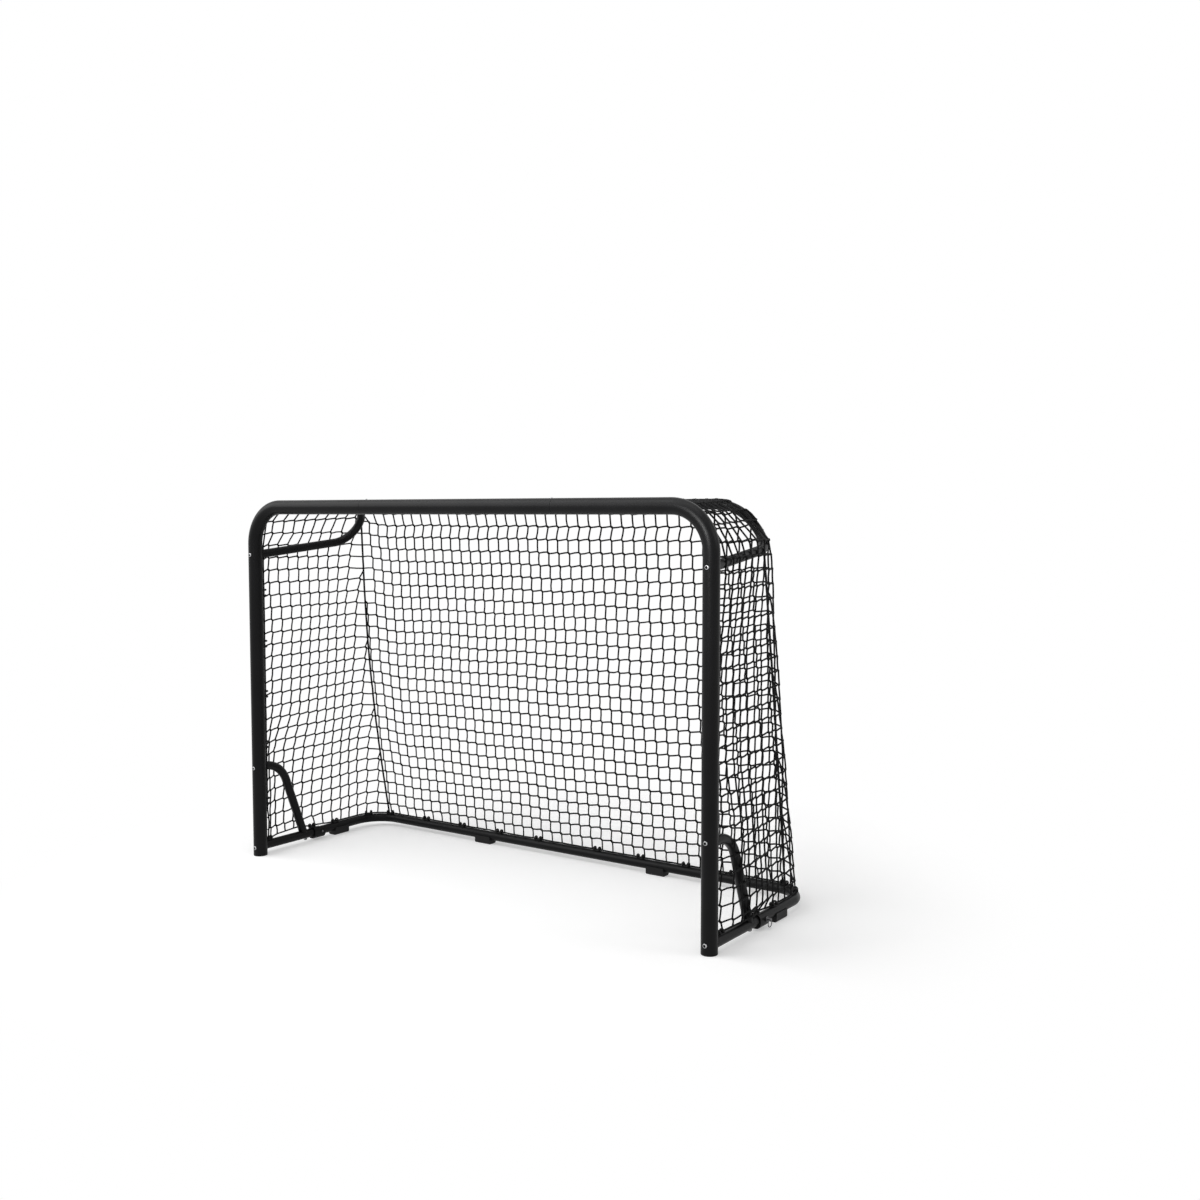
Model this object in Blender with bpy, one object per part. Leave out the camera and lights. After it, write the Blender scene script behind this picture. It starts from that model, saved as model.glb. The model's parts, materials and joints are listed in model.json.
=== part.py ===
"""A small folding sports goal with a net.

A bent tube front frame carries a bow and two braces. A ground frame behind it folds up on two ring pins.
Metres. X runs along the crossbar, Y runs from the mouth to the back, Z is up.
The origin is on the floor, in the middle of the goal's width and depth.
"""

import math

import bmesh
import bpy
from mathutils import Vector

# Overall sizes: width and height over the front frame's tube, depth from bolt heads to rear foot pads.
WIDTH = 1.800
HEIGHT = 1.200
DEPTH = 0.6084

# Clearance between pieces that touch or run in each other.
GAP = 0.0003

# Tubes.
WALL = 0.0015
POST_R = 0.0231
BOW_R = 0.0141
BRACE_R = 0.0143
GROUND_R = 0.0151

# Front frame.
FRONT_BEND_R = 0.122
SEAM_X = 0.371
SLEEVE_LENGTH = 0.120
SCREW_X = 0.360
SCREW_R = 0.0020
SCREW_HEAD_R = 0.0045
SCREW_TOP_R = 0.0032
SCREW_HEAD_H = 0.0022
SCREW_LENGTH = 0.0075

# Post end caps.
CAP_FLANGE = 0.0030
CAP_PLUG = 0.0130

# Bolts and the threaded inserts inside the tube ends.
BOLT_R = 0.0030
BOLT_HEAD_R = 0.0060
BOLT_HEAD_H = 0.0028
BOLT_TOP_R = 0.0037
BOLT_SHOULDER_R = 0.0054
BOLT_SHOULDER_H = 0.0015
SOCKET_R = 0.0024
SOCKET_DEPTH = 0.0016
STUB_INSERT_LENGTH = 0.020
BRACE_INSERT_LENGTH = 0.009
BOW_INSERT_LENGTH = 0.020
FOOT_INSERT_LENGTH = 0.018
FOOT_INSERT_START = 0.022
BOW_INSERT_SETBACK = 0.0028

# The bow, from its joints behind the posts to its bar under the roof of the net.
# Setbacks count from the posts' axis, and drops from the top of the goal.
BOW_JOINT_DROP = 0.1813
BOW_DIP_INSET = 0.0435
BOW_DIP_SETBACK = 0.447
BOW_DIP_DROP = 0.133
BOW_BAR_INSET = 0.133
BOW_BAR_SETBACK = 0.361
BOW_BAR_DROP = 0.018
BOW_DIP_BEND_R = 0.080
BOW_BAR_BEND_R = 0.090

# Braces between the posts and the side tubes.
BRACE_JOINT_Z = 0.300
BRACE_KNEE_SETBACK = 0.100
BRACE_FOOT_SETBACK = 0.2022
BRACE_BEND_R = 0.098
BRACE_FOOT_START = 0.0038

# The tubes that meet a post start this far behind its axis, and are then cut to its round.
COPE_START = 0.0030

# Ground frame.
GROUND_Z = 0.0281
SIDE_INSET = 0.0078
GROUND_BEND_R = 0.100

# The collars that hold the ground frame's ends, and their ring pins.
PIVOT_SETBACK = 0.2725
TUBE_END_AHEAD = 0.010
COLLAR_FRONT = 0.0345
COLLAR_REAR = 0.0145
COLLAR_WALL = 0.0031
COLLAR_TOP = 0.0188
COLLAR_WEB = 0.0038
COLLAR_ROUND = 0.015
TROUGH_ROUND = 0.0098
PIN_R = 0.0040
PIN_HEAD_R = 0.0075
PIN_HEAD_H = 0.0030
PIN_EYE_R = 0.0045
PIN_EYE_LENGTH = 0.012
PIN_EYE_SETBACK = 0.00744
PIN_EYE_HOLE_R = 0.0026
PIN_TIP = 0.0040
RING_R = 0.0105
RING_WIRE_R = 0.00125

# Foot pads under the ground frame.
PAD_LENGTH = 0.066
PAD_HALF_WIDTH = 0.0175
PAD_TOP_BELOW_AXIS = 0.0020
PAD_CHAMFER = 0.004
SIDE_PAD_SETBACK = 0.370
REAR_PAD_X = 0.358

# Net, with fewer and thicker strands than the real one.
STRAND = 0.0034
NET_CORNER_DEG = 60.0
SIDE_NET_CORNER_DEG = 54.0
SIDE_NET_INSET = 0.0225
SIDE_NET_RISE = 0.0104
SIDE_NET_LEVEL_END = 0.0725
SIDE_NET_CLIMB_END = 0.116
SIDE_NET_CLIMB = 0.0159
HAUNCH_START_DROP = 0.148
HAUNCH_START_SETBACK = 0.062
HAUNCH_END_X = 0.70
NET_BEND_ROOM = 0.0055
NET_ROOM_FADE = 0.1
HAUNCH_SHARE = 0.2
HAUNCH_CLIMBS = (0.0, 0.4, 0.8, 0.9, 0.965)
BACK_NET_CLIMBS = (0.0, 0.33, 0.67)
MIDDLE_GAPS = 9
BACK_NET_ROWS = 9
ROOF_ROWS = 3
ROOF_SAG = 0.010
SIDE_NET_GAPS = (5, 9)
SLOPE_STEP = 0.002

# Directions from a tube's centre to a net that lies on it, on the right haunch and on the middle.
BACK_NET_TOP_OUT = ((0.25, 0.9, 0.3), (0.0, 0.95, 0.3))
ROOF_FRONT_OUT = ((0.0, 1.0, 0.0), (0.0, 0.9, 0.45))
ROOF_REAR_OUT = ((0.6, -0.3, 1.0), (0.0, -0.3, 1.0))
SIDE_NET_TOP_OUT = (-0.8, 0.0, -0.6)

# Smoothness of the round pieces.
POST_SEGMENTS = 20
TUBE_SEGMENTS = 16
SMALL_SEGMENTS = 12
BEND_STEP_DEG = 18.0
SHARP_EDGE_DEG = 32.0

# Places that follow from the sizes above.
POST_X = WIDTH / 2 - POST_R
POST_Y = -DEPTH / 2 + BOLT_HEAD_H + GAP + POST_R
CROSSBAR_Z = HEIGHT - POST_R
BOW_JOINT_Z = HEIGHT - BOW_JOINT_DROP
BOW_DIP_Z = HEIGHT - BOW_DIP_DROP
BOW_BAR_Z = HEIGHT - BOW_BAR_DROP
HAUNCH_START_Z = HEIGHT - HAUNCH_START_DROP
REAR_Y = DEPTH / 2 - PAD_HALF_WIDTH
SIDE_X = POST_X + SIDE_INSET
PIVOT_Y = POST_Y + PIVOT_SETBACK
SWING_R = math.hypot(TUBE_END_AHEAD, GROUND_R) + GAP
TROUGH_FRONT_Y = PIVOT_Y - SWING_R
COLLAR_HALF_WIDTH = GROUND_R + GAP + COLLAR_WALL
INSERT_START = POST_R + 3 * GAP
NET_OFFSET = STRAND * math.sqrt(0.5) + 2 * GAP
SIDES = (("left", -1.0), ("right", 1.0))


def clear_scene():
    """Starts from an empty scene."""
    for old in list(bpy.data.objects):
        bpy.data.objects.remove(old)


def make_material(name, color, roughness, metallic):
    material = bpy.data.materials.new(name)
    material.use_nodes = True
    shader = material.node_tree.nodes["Principled BSDF"]
    shader.inputs["Base Color"].default_value = (*color, 1.0)
    shader.inputs["Roughness"].default_value = roughness
    shader.inputs["Metallic"].default_value = metallic
    return material


def painted_steel():
    return make_material("black_powder_coat", (0.012, 0.012, 0.013), 0.42, 0.0)


def zinc_steel():
    return make_material("zinc_steel", (0.62, 0.63, 0.65), 0.30, 1.0)


def black_plastic():
    return make_material("black_plastic", (0.015, 0.015, 0.016), 0.60, 0.0)


def net_cord():
    return make_material("net_cord", (0.010, 0.010, 0.011), 0.85, 0.0)


def add_mesh(name, points, faces, material):
    """One object from points and faces, facing out."""
    mesh = bpy.data.meshes.new(name)
    mesh.from_pydata([tuple(point) for point in points], [], faces)
    body = bmesh.new()
    body.from_mesh(mesh)
    bmesh.ops.recalc_face_normals(body, faces=body.faces)
    body.to_mesh(mesh)
    body.free()
    mesh.materials.append(material)
    mesh.shade_smooth()
    mesh.set_sharp_from_angle(angle=math.radians(SHARP_EDGE_DEG))
    shape = bpy.data.objects.new(name, mesh)
    bpy.context.scene.collection.objects.link(shape)
    return shape


def inside_radius(bore_radius, segments):
    """The largest radius that keeps the clearance inside a bore of flat facets."""
    return bore_radius * math.cos(math.pi / segments) - GAP


def around_radius(radius, segments):
    """The facet corner radius of a hole that keeps the clearance around a round of this radius."""
    return (radius + GAP) / math.cos(math.pi / segments)


def rounded_path(corners, radii):
    """The corners joined by straight runs, with each inner corner rounded to its radius."""
    path = [Vector(corners[0])]
    for index, radius in enumerate(radii, start=1):
        before, corner, after = (Vector(corners[index + shift]) for shift in (-1, 0, 1))
        back = (before - corner).normalized()
        ahead = (after - corner).normalized()
        opening = back.angle(ahead)
        centre = corner + (back + ahead).normalized() * radius / math.sin(opening / 2)
        start = corner + back * radius / math.tan(opening / 2) - centre
        end = corner + ahead * radius / math.tan(opening / 2) - centre
        turn = math.pi - opening
        across = (end - start * end.dot(start) / start.dot(start)).normalized() * radius
        steps = max(2, math.ceil(math.degrees(turn) / BEND_STEP_DEG))
        for step in range(steps + 1):
            angle = turn * step / steps
            path.append(centre + start * math.cos(angle) + across * math.sin(angle))
    path.append(Vector(corners[-1]))
    return path


def rings_along(path, radius, segments, reference):
    """Circles of points square to the path, carried along it without twist."""
    rings = []
    normal = Vector(reference)
    for index, point in enumerate(path):
        before = path[max(index - 1, 0)]
        after = path[min(index + 1, len(path) - 1)]
        tangent = (after - before).normalized()
        normal = (normal - tangent * normal.dot(tangent)).normalized()
        side = tangent.cross(normal)
        ring = []
        for step in range(segments):
            angle = math.tau * step / segments
            ring.append(point + (normal * math.cos(angle) + side * math.sin(angle)) * radius)
        rings.append(ring)
    return rings


def skin_faces(first, second, segments):
    """Quads between two rings of points that start at these indices."""
    faces = []
    for step in range(segments):
        after = (step + 1) % segments
        faces.append((first + step, first + after, second + after, second + step))
    return faces


def make_tube(name, path, radius, segments, material, reference=(0.0, 1.0, 0.0)):
    """A hollow tube with open ends, bent along a path."""
    outer = rings_along(path, radius, segments, reference)
    inner = rings_along(path, radius - WALL, segments, reference)
    points = [point for ring in outer + inner for point in ring]
    inner_start = len(path) * segments
    last = (len(path) - 1) * segments
    faces = []
    for index in range(len(path) - 1):
        here = index * segments
        faces += skin_faces(here, here + segments, segments)
        faces += skin_faces(inner_start + here + segments, inner_start + here, segments)
    faces += skin_faces(inner_start, 0, segments)
    faces += skin_faces(last, inner_start + last, segments)
    return add_mesh(name, points, faces, material)


def make_round(name, profile, origin, axis, segments, material):
    """A solid of revolution. The profile lists (radius, distance along the axis), from axis to axis."""
    axis = Vector(axis).normalized()
    normal = axis.orthogonal().normalized()
    side = axis.cross(normal)
    points = [Vector(origin) + axis * profile[0][1]]
    for radius, along in profile[1:-1]:
        for step in range(segments):
            angle = math.tau * step / segments
            out = normal * math.cos(angle) + side * math.sin(angle)
            points.append(Vector(origin) + axis * along + out * radius)
    points.append(Vector(origin) + axis * profile[-1][1])
    rings = len(profile) - 2
    end = len(points) - 1
    faces = []
    for step in range(segments):
        after = (step + 1) % segments
        faces.append((0, 1 + after, 1 + step))
        last = 1 + (rings - 1) * segments
        faces.append((end, last + step, last + after))
    for ring in range(rings - 1):
        start = 1 + ring * segments
        faces += skin_faces(start, start + segments, segments)
    return add_mesh(name, points, faces, material)


def make_prism(name, outline, origin, right, up, along, length, material):
    """An outline of (right, up) points, extruded along a direction from the origin."""
    right, up, along = Vector(right), Vector(up), Vector(along)
    near = [Vector(origin) + right * a + up * b for a, b in outline]
    far = [point + along * length for point in near]
    count = len(outline)
    faces = [tuple(range(count)), tuple(reversed(range(count, 2 * count)))]
    faces += skin_faces(0, count, count)
    return add_mesh(name, near + far, faces, material)


def rounded_outline(low, high, half_width, round_low, round_high):
    """An upright outline with rounded or square corners, from its lower right corner anticlockwise."""
    points = []
    corners = (
        (half_width - round_low, low + round_low, round_low, -90.0),
        (half_width - round_high, high - round_high, round_high, 0.0),
        (-half_width + round_high, high - round_high, round_high, 90.0),
        (-half_width + round_low, low + round_low, round_low, 180.0),
    )
    for centre_x, centre_z, radius, start in corners:
        steps = math.ceil(90.0 / BEND_STEP_DEG) if radius else 0
        for step in range(steps + 1):
            angle = math.radians(start + 90.0 * step / max(steps, 1))
            points.append((centre_x + radius * math.cos(angle), centre_z + radius * math.sin(angle)))
    return points


def cut(shape, cutter):
    """Cuts a hidden helper out of a piece."""
    cutter.hide_render = True
    cutter.display_type = "WIRE"
    boolean = shape.modifiers.new(cutter.name, "BOOLEAN")
    boolean.operation = "DIFFERENCE"
    boolean.solver = "EXACT"
    boolean.object = cutter


def round_cutter(name, start, end, radius, segments, material):
    """A solid cylinder between two points, used to cut a hole or a saddle."""
    start, end = Vector(start), Vector(end)
    length = (end - start).length
    profile = ((0.0, 0.0), (radius, 0.0), (radius, length), (0.0, length))
    return make_round(name, profile, start, end - start, segments, material)


def along_path(path, fraction):
    """The point and direction at this share of a path's length."""
    runs = [(path[index + 1] - path[index]).length for index in range(len(path) - 1)]
    left = fraction * sum(runs)
    for index, run in enumerate(runs):
        if left <= run or index == len(runs) - 1:
            direction = (path[index + 1] - path[index]).normalized()
            return path[index] + direction * left, direction
        left -= run
    return path[-1], direction


def beside(path, fraction, direction, distance):
    """A point this far from the path's centre line, towards a direction."""
    point, tangent = along_path(path, fraction)
    out = Vector(direction)
    out = (out - tangent * out.dot(tangent)).normalized()
    return point + out * distance


def front_path(side):
    """From the foot of a post, up and round the corner to the seam in the crossbar."""
    foot = (side * POST_X, POST_Y, CAP_FLANGE + GAP)
    corner = (side * POST_X, POST_Y, CROSSBAR_Z)
    seam = (side * (SEAM_X + GAP), POST_Y, CROSSBAR_Z)
    return rounded_path((foot, corner, seam), (FRONT_BEND_R,))


def bow_corners(side):
    """The bow's joint behind a post, its dip, and where it turns into the bar."""
    joint = (side * POST_X, POST_Y, BOW_JOINT_Z)
    dip = (side * (POST_X - BOW_DIP_INSET), POST_Y + BOW_DIP_SETBACK, BOW_DIP_Z)
    turn = (side * (POST_X - BOW_BAR_INSET), POST_Y + BOW_BAR_SETBACK, BOW_BAR_Z)
    return joint, dip, turn


def bow_path(side, start_setback, end_x):
    """From an arm of the bow to a point on its bar."""
    joint, dip, turn = bow_corners(side)
    share = start_setback / BOW_DIP_SETBACK
    start = Vector(joint).lerp(Vector(dip), share)
    end = (side * end_x, turn[1], turn[2])
    return rounded_path((start, dip, turn, end), (BOW_DIP_BEND_R, BOW_BAR_BEND_R))


def ground_path(side, start_y, end_x):
    """From a side tube of the ground frame to a point on its rear bar."""
    start = (side * SIDE_X, start_y, GROUND_Z)
    corner = (side * SIDE_X, REAR_Y, GROUND_Z)
    end = (side * end_x, REAR_Y, GROUND_Z)
    return rounded_path((start, corner, end), (GROUND_BEND_R,))


def brace_leg():
    """Direction of the brace's leg in the YZ plane, from its foot up to its knee."""
    rise = Vector((0.0, BRACE_KNEE_SETBACK - BRACE_FOOT_SETBACK, BRACE_JOINT_Z - GROUND_Z))
    return rise.normalized()


def post_cutter(name, side, material):
    """The post's round with its clearance, which shapes the ends of the tubes that meet it."""
    low = (side * POST_X, POST_Y, -POST_R)
    high = (side * POST_X, POST_Y, CROSSBAR_Z - FRONT_BEND_R)
    radius = around_radius(POST_R, POST_SEGMENTS)
    return round_cutter(name, low, high, radius, POST_SEGMENTS, material)


def bolt_profile(shank_length):
    """A button head bolt. Distance 0 is under the head, and the shank runs on from there."""
    return (
        (0.0, SOCKET_DEPTH - BOLT_HEAD_H),
        (SOCKET_R, SOCKET_DEPTH - BOLT_HEAD_H),
        (SOCKET_R, -BOLT_HEAD_H),
        (BOLT_TOP_R, -BOLT_HEAD_H),
        (BOLT_SHOULDER_R, -BOLT_SHOULDER_H),
        (BOLT_HEAD_R, 0.0),
        (BOLT_R, 0.0),
        (BOLT_R, shank_length),
        (0.0, shank_length),
    )


def make_insert(name, start, direction, length, bore_radius, material):
    """A threaded plug that fills the end of a tube."""
    radius = inside_radius(bore_radius, TUBE_SEGMENTS)
    end = Vector(start) + Vector(direction).normalized() * length
    return round_cutter(name, start, end, radius, TUBE_SEGMENTS, material)


def make_posts(steel, plastic):
    """The two posts with their corners, drilled for the bolts, and the caps in their feet."""
    for label, side in SIDES:
        post = make_tube(f"{label}_post_tube", front_path(side), POST_R, POST_SEGMENTS, steel)
        for place, height in (("bow", BOW_JOINT_Z), ("brace", BRACE_JOINT_Z), ("stub", GROUND_Z)):
            start = (side * POST_X, POST_Y - 2 * POST_R, height)
            end = (side * POST_X, POST_Y + 2 * POST_R, height)
            radius = around_radius(BOLT_R, SMALL_SEGMENTS)
            cut(post, round_cutter(f"{label}_{place}_drill", start, end, radius, SMALL_SEGMENTS, steel))
        plug_radius = inside_radius(POST_R - WALL, POST_SEGMENTS)
        profile = (
            (0.0, 0.0),
            (POST_R, 0.0),
            (POST_R, CAP_FLANGE),
            (plug_radius, CAP_FLANGE),
            (plug_radius, CAP_FLANGE + CAP_PLUG),
            (0.0, CAP_FLANGE + CAP_PLUG),
        )
        foot = (side * POST_X, POST_Y, 0.0)
        make_round(f"{label}_post_cap", profile, foot, (0.0, 0.0, 1.0), POST_SEGMENTS, plastic)


def make_crossbar(steel, zinc):
    """The middle of the crossbar, and the sleeves and screws that join it to the corners."""
    ends = (Vector((-SEAM_X, POST_Y, CROSSBAR_Z)), Vector((SEAM_X, POST_Y, CROSSBAR_Z)))
    bar = make_tube("crossbar_tube", ends, POST_R, POST_SEGMENTS, steel)
    sleeve_radius = inside_radius(POST_R - WALL, POST_SEGMENTS)
    for label, side in SIDES:
        middle = Vector((side * SEAM_X, POST_Y, CROSSBAR_Z))
        reach = Vector((SLEEVE_LENGTH / 2, 0.0, 0.0))
        sleeve = make_tube(
            f"{label}_crossbar_sleeve", (middle - reach, middle + reach), sleeve_radius, POST_SEGMENTS, steel
        )
        seat = Vector((side * SCREW_X, POST_Y, HEIGHT + GAP))
        down = Vector((0.0, 0.0, -1.0))
        for shape in (bar, sleeve):
            hole = round_cutter(
                f"{shape.name}_{label}_screw_drill",
                seat - down * POST_R / 2,
                seat + down * POST_R / 2,
                around_radius(SCREW_R, SMALL_SEGMENTS),
                SMALL_SEGMENTS,
                steel,
            )
            cut(shape, hole)
        profile = (
            (0.0, -SCREW_HEAD_H),
            (SCREW_TOP_R, -SCREW_HEAD_H),
            (SCREW_HEAD_R, 0.0),
            (SCREW_R, 0.0),
            (SCREW_R, SCREW_LENGTH),
            (0.0, SCREW_LENGTH),
        )
        make_round(f"{label}_crossbar_screw", profile, seat, down, SMALL_SEGMENTS, zinc)


def make_front_bolt(name, side, height, insert_end, zinc):
    """A bolt through a post from the front, as long as it takes to end in its insert."""
    seat_y = POST_Y - POST_R - GAP
    seat = (side * POST_X, seat_y, height)
    shank = insert_end - seat_y - GAP
    make_round(name, bolt_profile(shank), seat, (0.0, 1.0, 0.0), SMALL_SEGMENTS, zinc)


def drill_insert(insert, side, height, steel):
    """The bore for a front bolt."""
    start = (side * POST_X, POST_Y, height)
    end = (side * POST_X, POST_Y + 4 * POST_R, height)
    radius = around_radius(BOLT_R, SMALL_SEGMENTS)
    cut(insert, round_cutter(f"{insert.name}_drill", start, end, radius, SMALL_SEGMENTS, steel))


def make_bow(steel, zinc):
    """The bow in three lengths with sleeves inside, bolted on behind the posts."""
    for label, side in SIDES:
        path = list(reversed(bow_path(side, COPE_START, SEAM_X + GAP)))
        corner = make_tube(f"{label}_bow_corner", path, BOW_R, TUBE_SEGMENTS, steel)
        cut(corner, post_cutter(f"{label}_bow_cope", side, steel))
        joint, dip, _ = bow_corners(side)
        arm = (Vector(dip) - Vector(joint)).normalized()
        start = Vector(joint) + arm * (INSERT_START + BOW_INSERT_SETBACK)
        insert = make_insert(f"{label}_bow_insert", start, arm, BOW_INSERT_LENGTH, BOW_R - WALL, zinc)
        drill_insert(insert, side, BOW_JOINT_Z, steel)
        insert_end = start.y + arm.y * BOW_INSERT_LENGTH
        make_front_bolt(f"{label}_bow_bolt", side, BOW_JOINT_Z, insert_end, zinc)
    bar_y = POST_Y + BOW_BAR_SETBACK
    make_sectioned_bar("bow", bar_y, BOW_BAR_Z, BOW_R, steel)


def make_sectioned_bar(label, y, z, radius, steel):
    """A straight middle length between the seams, with a sleeve inside each seam."""
    ends = (Vector((-SEAM_X, y, z)), Vector((SEAM_X, y, z)))
    make_tube(f"{label}_bar_tube", ends, radius, TUBE_SEGMENTS, steel)
    sleeve_radius = inside_radius(radius - WALL, TUBE_SEGMENTS)
    for name, side in SIDES:
        middle = Vector((side * SEAM_X, y, z))
        reach = Vector((SLEEVE_LENGTH / 2, 0.0, 0.0))
        path = (middle - reach, middle + reach)
        make_tube(f"{name}_{label}_sleeve", path, sleeve_radius, TUBE_SEGMENTS, steel)


def make_braces(steel, zinc):
    """The bent braces from the posts down to the stubs, with their inserts and bolts."""
    leg = brace_leg()
    knee_y = POST_Y + BRACE_KNEE_SETBACK
    crossing_y = POST_Y + BRACE_FOOT_SETBACK
    for label, side in SIDES:
        top = (side * SIDE_X, POST_Y + COPE_START, BRACE_JOINT_Z)
        knee = (side * SIDE_X, knee_y, BRACE_JOINT_Z)
        crossing = Vector((side * SIDE_X, crossing_y, GROUND_Z))
        foot = crossing + leg * BRACE_FOOT_START
        path = rounded_path((top, knee, foot), (BRACE_BEND_R,))
        brace = make_tube(f"{label}_brace", path, BRACE_R, TUBE_SEGMENTS, steel, (1.0, 0.0, 0.0))
        cut(brace, post_cutter(f"{label}_brace_cope", side, steel))
        reach = Vector((0.0, 4 * GROUND_R, 0.0))
        saddle = round_cutter(
            f"{label}_brace_saddle",
            crossing - reach,
            crossing + reach,
            around_radius(GROUND_R, TUBE_SEGMENTS),
            TUBE_SEGMENTS,
            steel,
        )
        cut(brace, saddle)
        start_y = POST_Y + INSERT_START
        insert = make_insert(
            f"{label}_brace_insert",
            (side * SIDE_X, start_y, BRACE_JOINT_Z),
            (0.0, 1.0, 0.0),
            BRACE_INSERT_LENGTH,
            BRACE_R - WALL,
            zinc,
        )
        drill_insert(insert, side, BRACE_JOINT_Z, steel)
        make_front_bolt(f"{label}_brace_bolt", side, BRACE_JOINT_Z, start_y + BRACE_INSERT_LENGTH, zinc)
        make_brace_foot(label, crossing, leg, zinc, steel)


def make_brace_foot(label, crossing, leg, zinc, steel):
    """The plug in a brace's foot and the bolt that comes up through the stub into it."""
    plug_start = crossing + leg * FOOT_INSERT_START
    plug = make_insert(f"{label}_foot_insert", plug_start, leg, FOOT_INSERT_LENGTH, BRACE_R - WALL, zinc)
    drill_end = plug_start + leg * 2 * FOOT_INSERT_LENGTH
    hole_radius = around_radius(BOLT_R, SMALL_SEGMENTS)
    drill = round_cutter(f"{label}_foot_drill", crossing, drill_end, hole_radius, SMALL_SEGMENTS, steel)
    cut(plug, drill)
    seat_distance = (GROUND_R + GAP + BOLT_HEAD_R * abs(leg.y)) / leg.z
    shank = seat_distance + FOOT_INSERT_START + FOOT_INSERT_LENGTH - GAP
    seat = crossing - leg * seat_distance
    make_round(f"{label}_foot_bolt", bolt_profile(shank), seat, leg, SMALL_SEGMENTS, zinc)


def make_stubs(steel, zinc):
    """The short side tubes between the posts and the collars, with their inserts and bolts."""
    leg = brace_leg()
    for label, side in SIDES:
        start = Vector((side * SIDE_X, POST_Y + COPE_START, GROUND_Z))
        end = Vector((side * SIDE_X, TROUGH_FRONT_Y - GAP, GROUND_Z))
        stub = make_tube(f"{label}_stub_tube", (start, end), GROUND_R, TUBE_SEGMENTS, steel, (1.0, 0.0, 0.0))
        cut(stub, post_cutter(f"{label}_stub_cope", side, steel))
        crossing = Vector((side * SIDE_X, POST_Y + BRACE_FOOT_SETBACK, GROUND_Z))
        drill = round_cutter(
            f"{label}_stub_drill",
            crossing - leg * 2 * GROUND_R,
            crossing + leg * 2 * GROUND_R,
            around_radius(BOLT_R, SMALL_SEGMENTS),
            SMALL_SEGMENTS,
            steel,
        )
        cut(stub, drill)
        start_y = POST_Y + INSERT_START
        insert = make_insert(
            f"{label}_stub_insert",
            (side * SIDE_X, start_y, GROUND_Z),
            (0.0, 1.0, 0.0),
            STUB_INSERT_LENGTH,
            GROUND_R - WALL,
            zinc,
        )
        drill_insert(insert, side, GROUND_Z, steel)
        make_front_bolt(f"{label}_stub_bolt", side, GROUND_Z, start_y + STUB_INSERT_LENGTH, zinc)


def make_collars(steel):
    """The collars on the stubs' rear ends, each with an open trough that the ground frame turns in."""
    trough_half_width = GROUND_R + GAP
    outer = rounded_outline(
        -SWING_R - COLLAR_WEB, COLLAR_TOP, COLLAR_HALF_WIDTH, COLLAR_ROUND, COLLAR_ROUND
    )
    inner = rounded_outline(-SWING_R, 2 * COLLAR_TOP, trough_half_width, TROUGH_ROUND, 0.0)
    right, up, back = (1.0, 0.0, 0.0), (0.0, 0.0, 1.0), (0.0, 1.0, 0.0)
    for label, side in SIDES:
        front = (side * SIDE_X, PIVOT_Y - COLLAR_FRONT, GROUND_Z)
        length = COLLAR_FRONT + COLLAR_REAR
        collar = make_prism(f"{label}_collar", outer, front, right, up, back, length, steel)
        bore = round_cutter(
            f"{label}_collar_bore",
            (side * SIDE_X, PIVOT_Y - 2 * COLLAR_FRONT, GROUND_Z),
            (side * SIDE_X, PIVOT_Y, GROUND_Z),
            around_radius(GROUND_R, TUBE_SEGMENTS),
            TUBE_SEGMENTS,
            steel,
        )
        cut(collar, bore)
        trough_start = (side * SIDE_X, TROUGH_FRONT_Y, GROUND_Z)
        trough = make_prism(
            f"{label}_collar_trough", inner, trough_start, right, up, back, 2 * COLLAR_FRONT, steel
        )
        cut(collar, trough)
        cut(collar, pin_drill(f"{label}_collar_drill", side, steel))


def pin_drill(name, side, steel):
    """The hole for a ring pin, through a collar and the tube end in it."""
    start = (side * (SIDE_X - 2 * COLLAR_HALF_WIDTH), PIVOT_Y, GROUND_Z)
    end = (side * (SIDE_X + 2 * COLLAR_HALF_WIDTH), PIVOT_Y, GROUND_Z)
    return round_cutter(name, start, end, around_radius(PIN_R, TUBE_SEGMENTS), TUBE_SEGMENTS, steel)


def make_pins(zinc):
    """The hinge pins, each with a drilled eye and a pull ring."""
    seat = COLLAR_HALF_WIDTH + GAP
    eye_end = -PIN_HEAD_H - PIN_EYE_LENGTH
    shank = COLLAR_HALF_WIDTH + seat + PIN_TIP
    for label, side in SIDES:
        profile = (
            (0.0, eye_end),
            (PIN_EYE_R, eye_end),
            (PIN_EYE_R, -PIN_HEAD_H),
            (PIN_HEAD_R, -PIN_HEAD_H),
            (PIN_HEAD_R, 0.0),
            (PIN_R, 0.0),
            (PIN_R, shank - PIN_R / 2),
            (PIN_R / 2, shank),
            (0.0, shank),
        )
        origin = Vector((side * (SIDE_X + seat), PIVOT_Y, GROUND_Z))
        inward = Vector((-side, 0.0, 0.0))
        pin = make_round(f"{label}_ring_pin", profile, origin, inward, TUBE_SEGMENTS, zinc)
        eye = Vector((side * ring_x(), PIVOT_Y, GROUND_Z))
        across = Vector((0.0, 2 * PIN_EYE_R, 0.0))
        hole_radius = PIN_EYE_HOLE_R / math.cos(math.pi / SMALL_SEGMENTS)
        ends = (eye - across, eye + across)
        hole = round_cutter(f"{label}_eye_drill", *ends, hole_radius, SMALL_SEGMENTS, zinc)
        cut(pin, hole)
        make_ring(f"{label}_pull_ring", eye, zinc)


def ring_x():
    """Distance of the rings' plane from the middle of the goal."""
    return SIDE_X + COLLAR_HALF_WIDTH + GAP + PIN_HEAD_H + PIN_EYE_SETBACK


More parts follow.
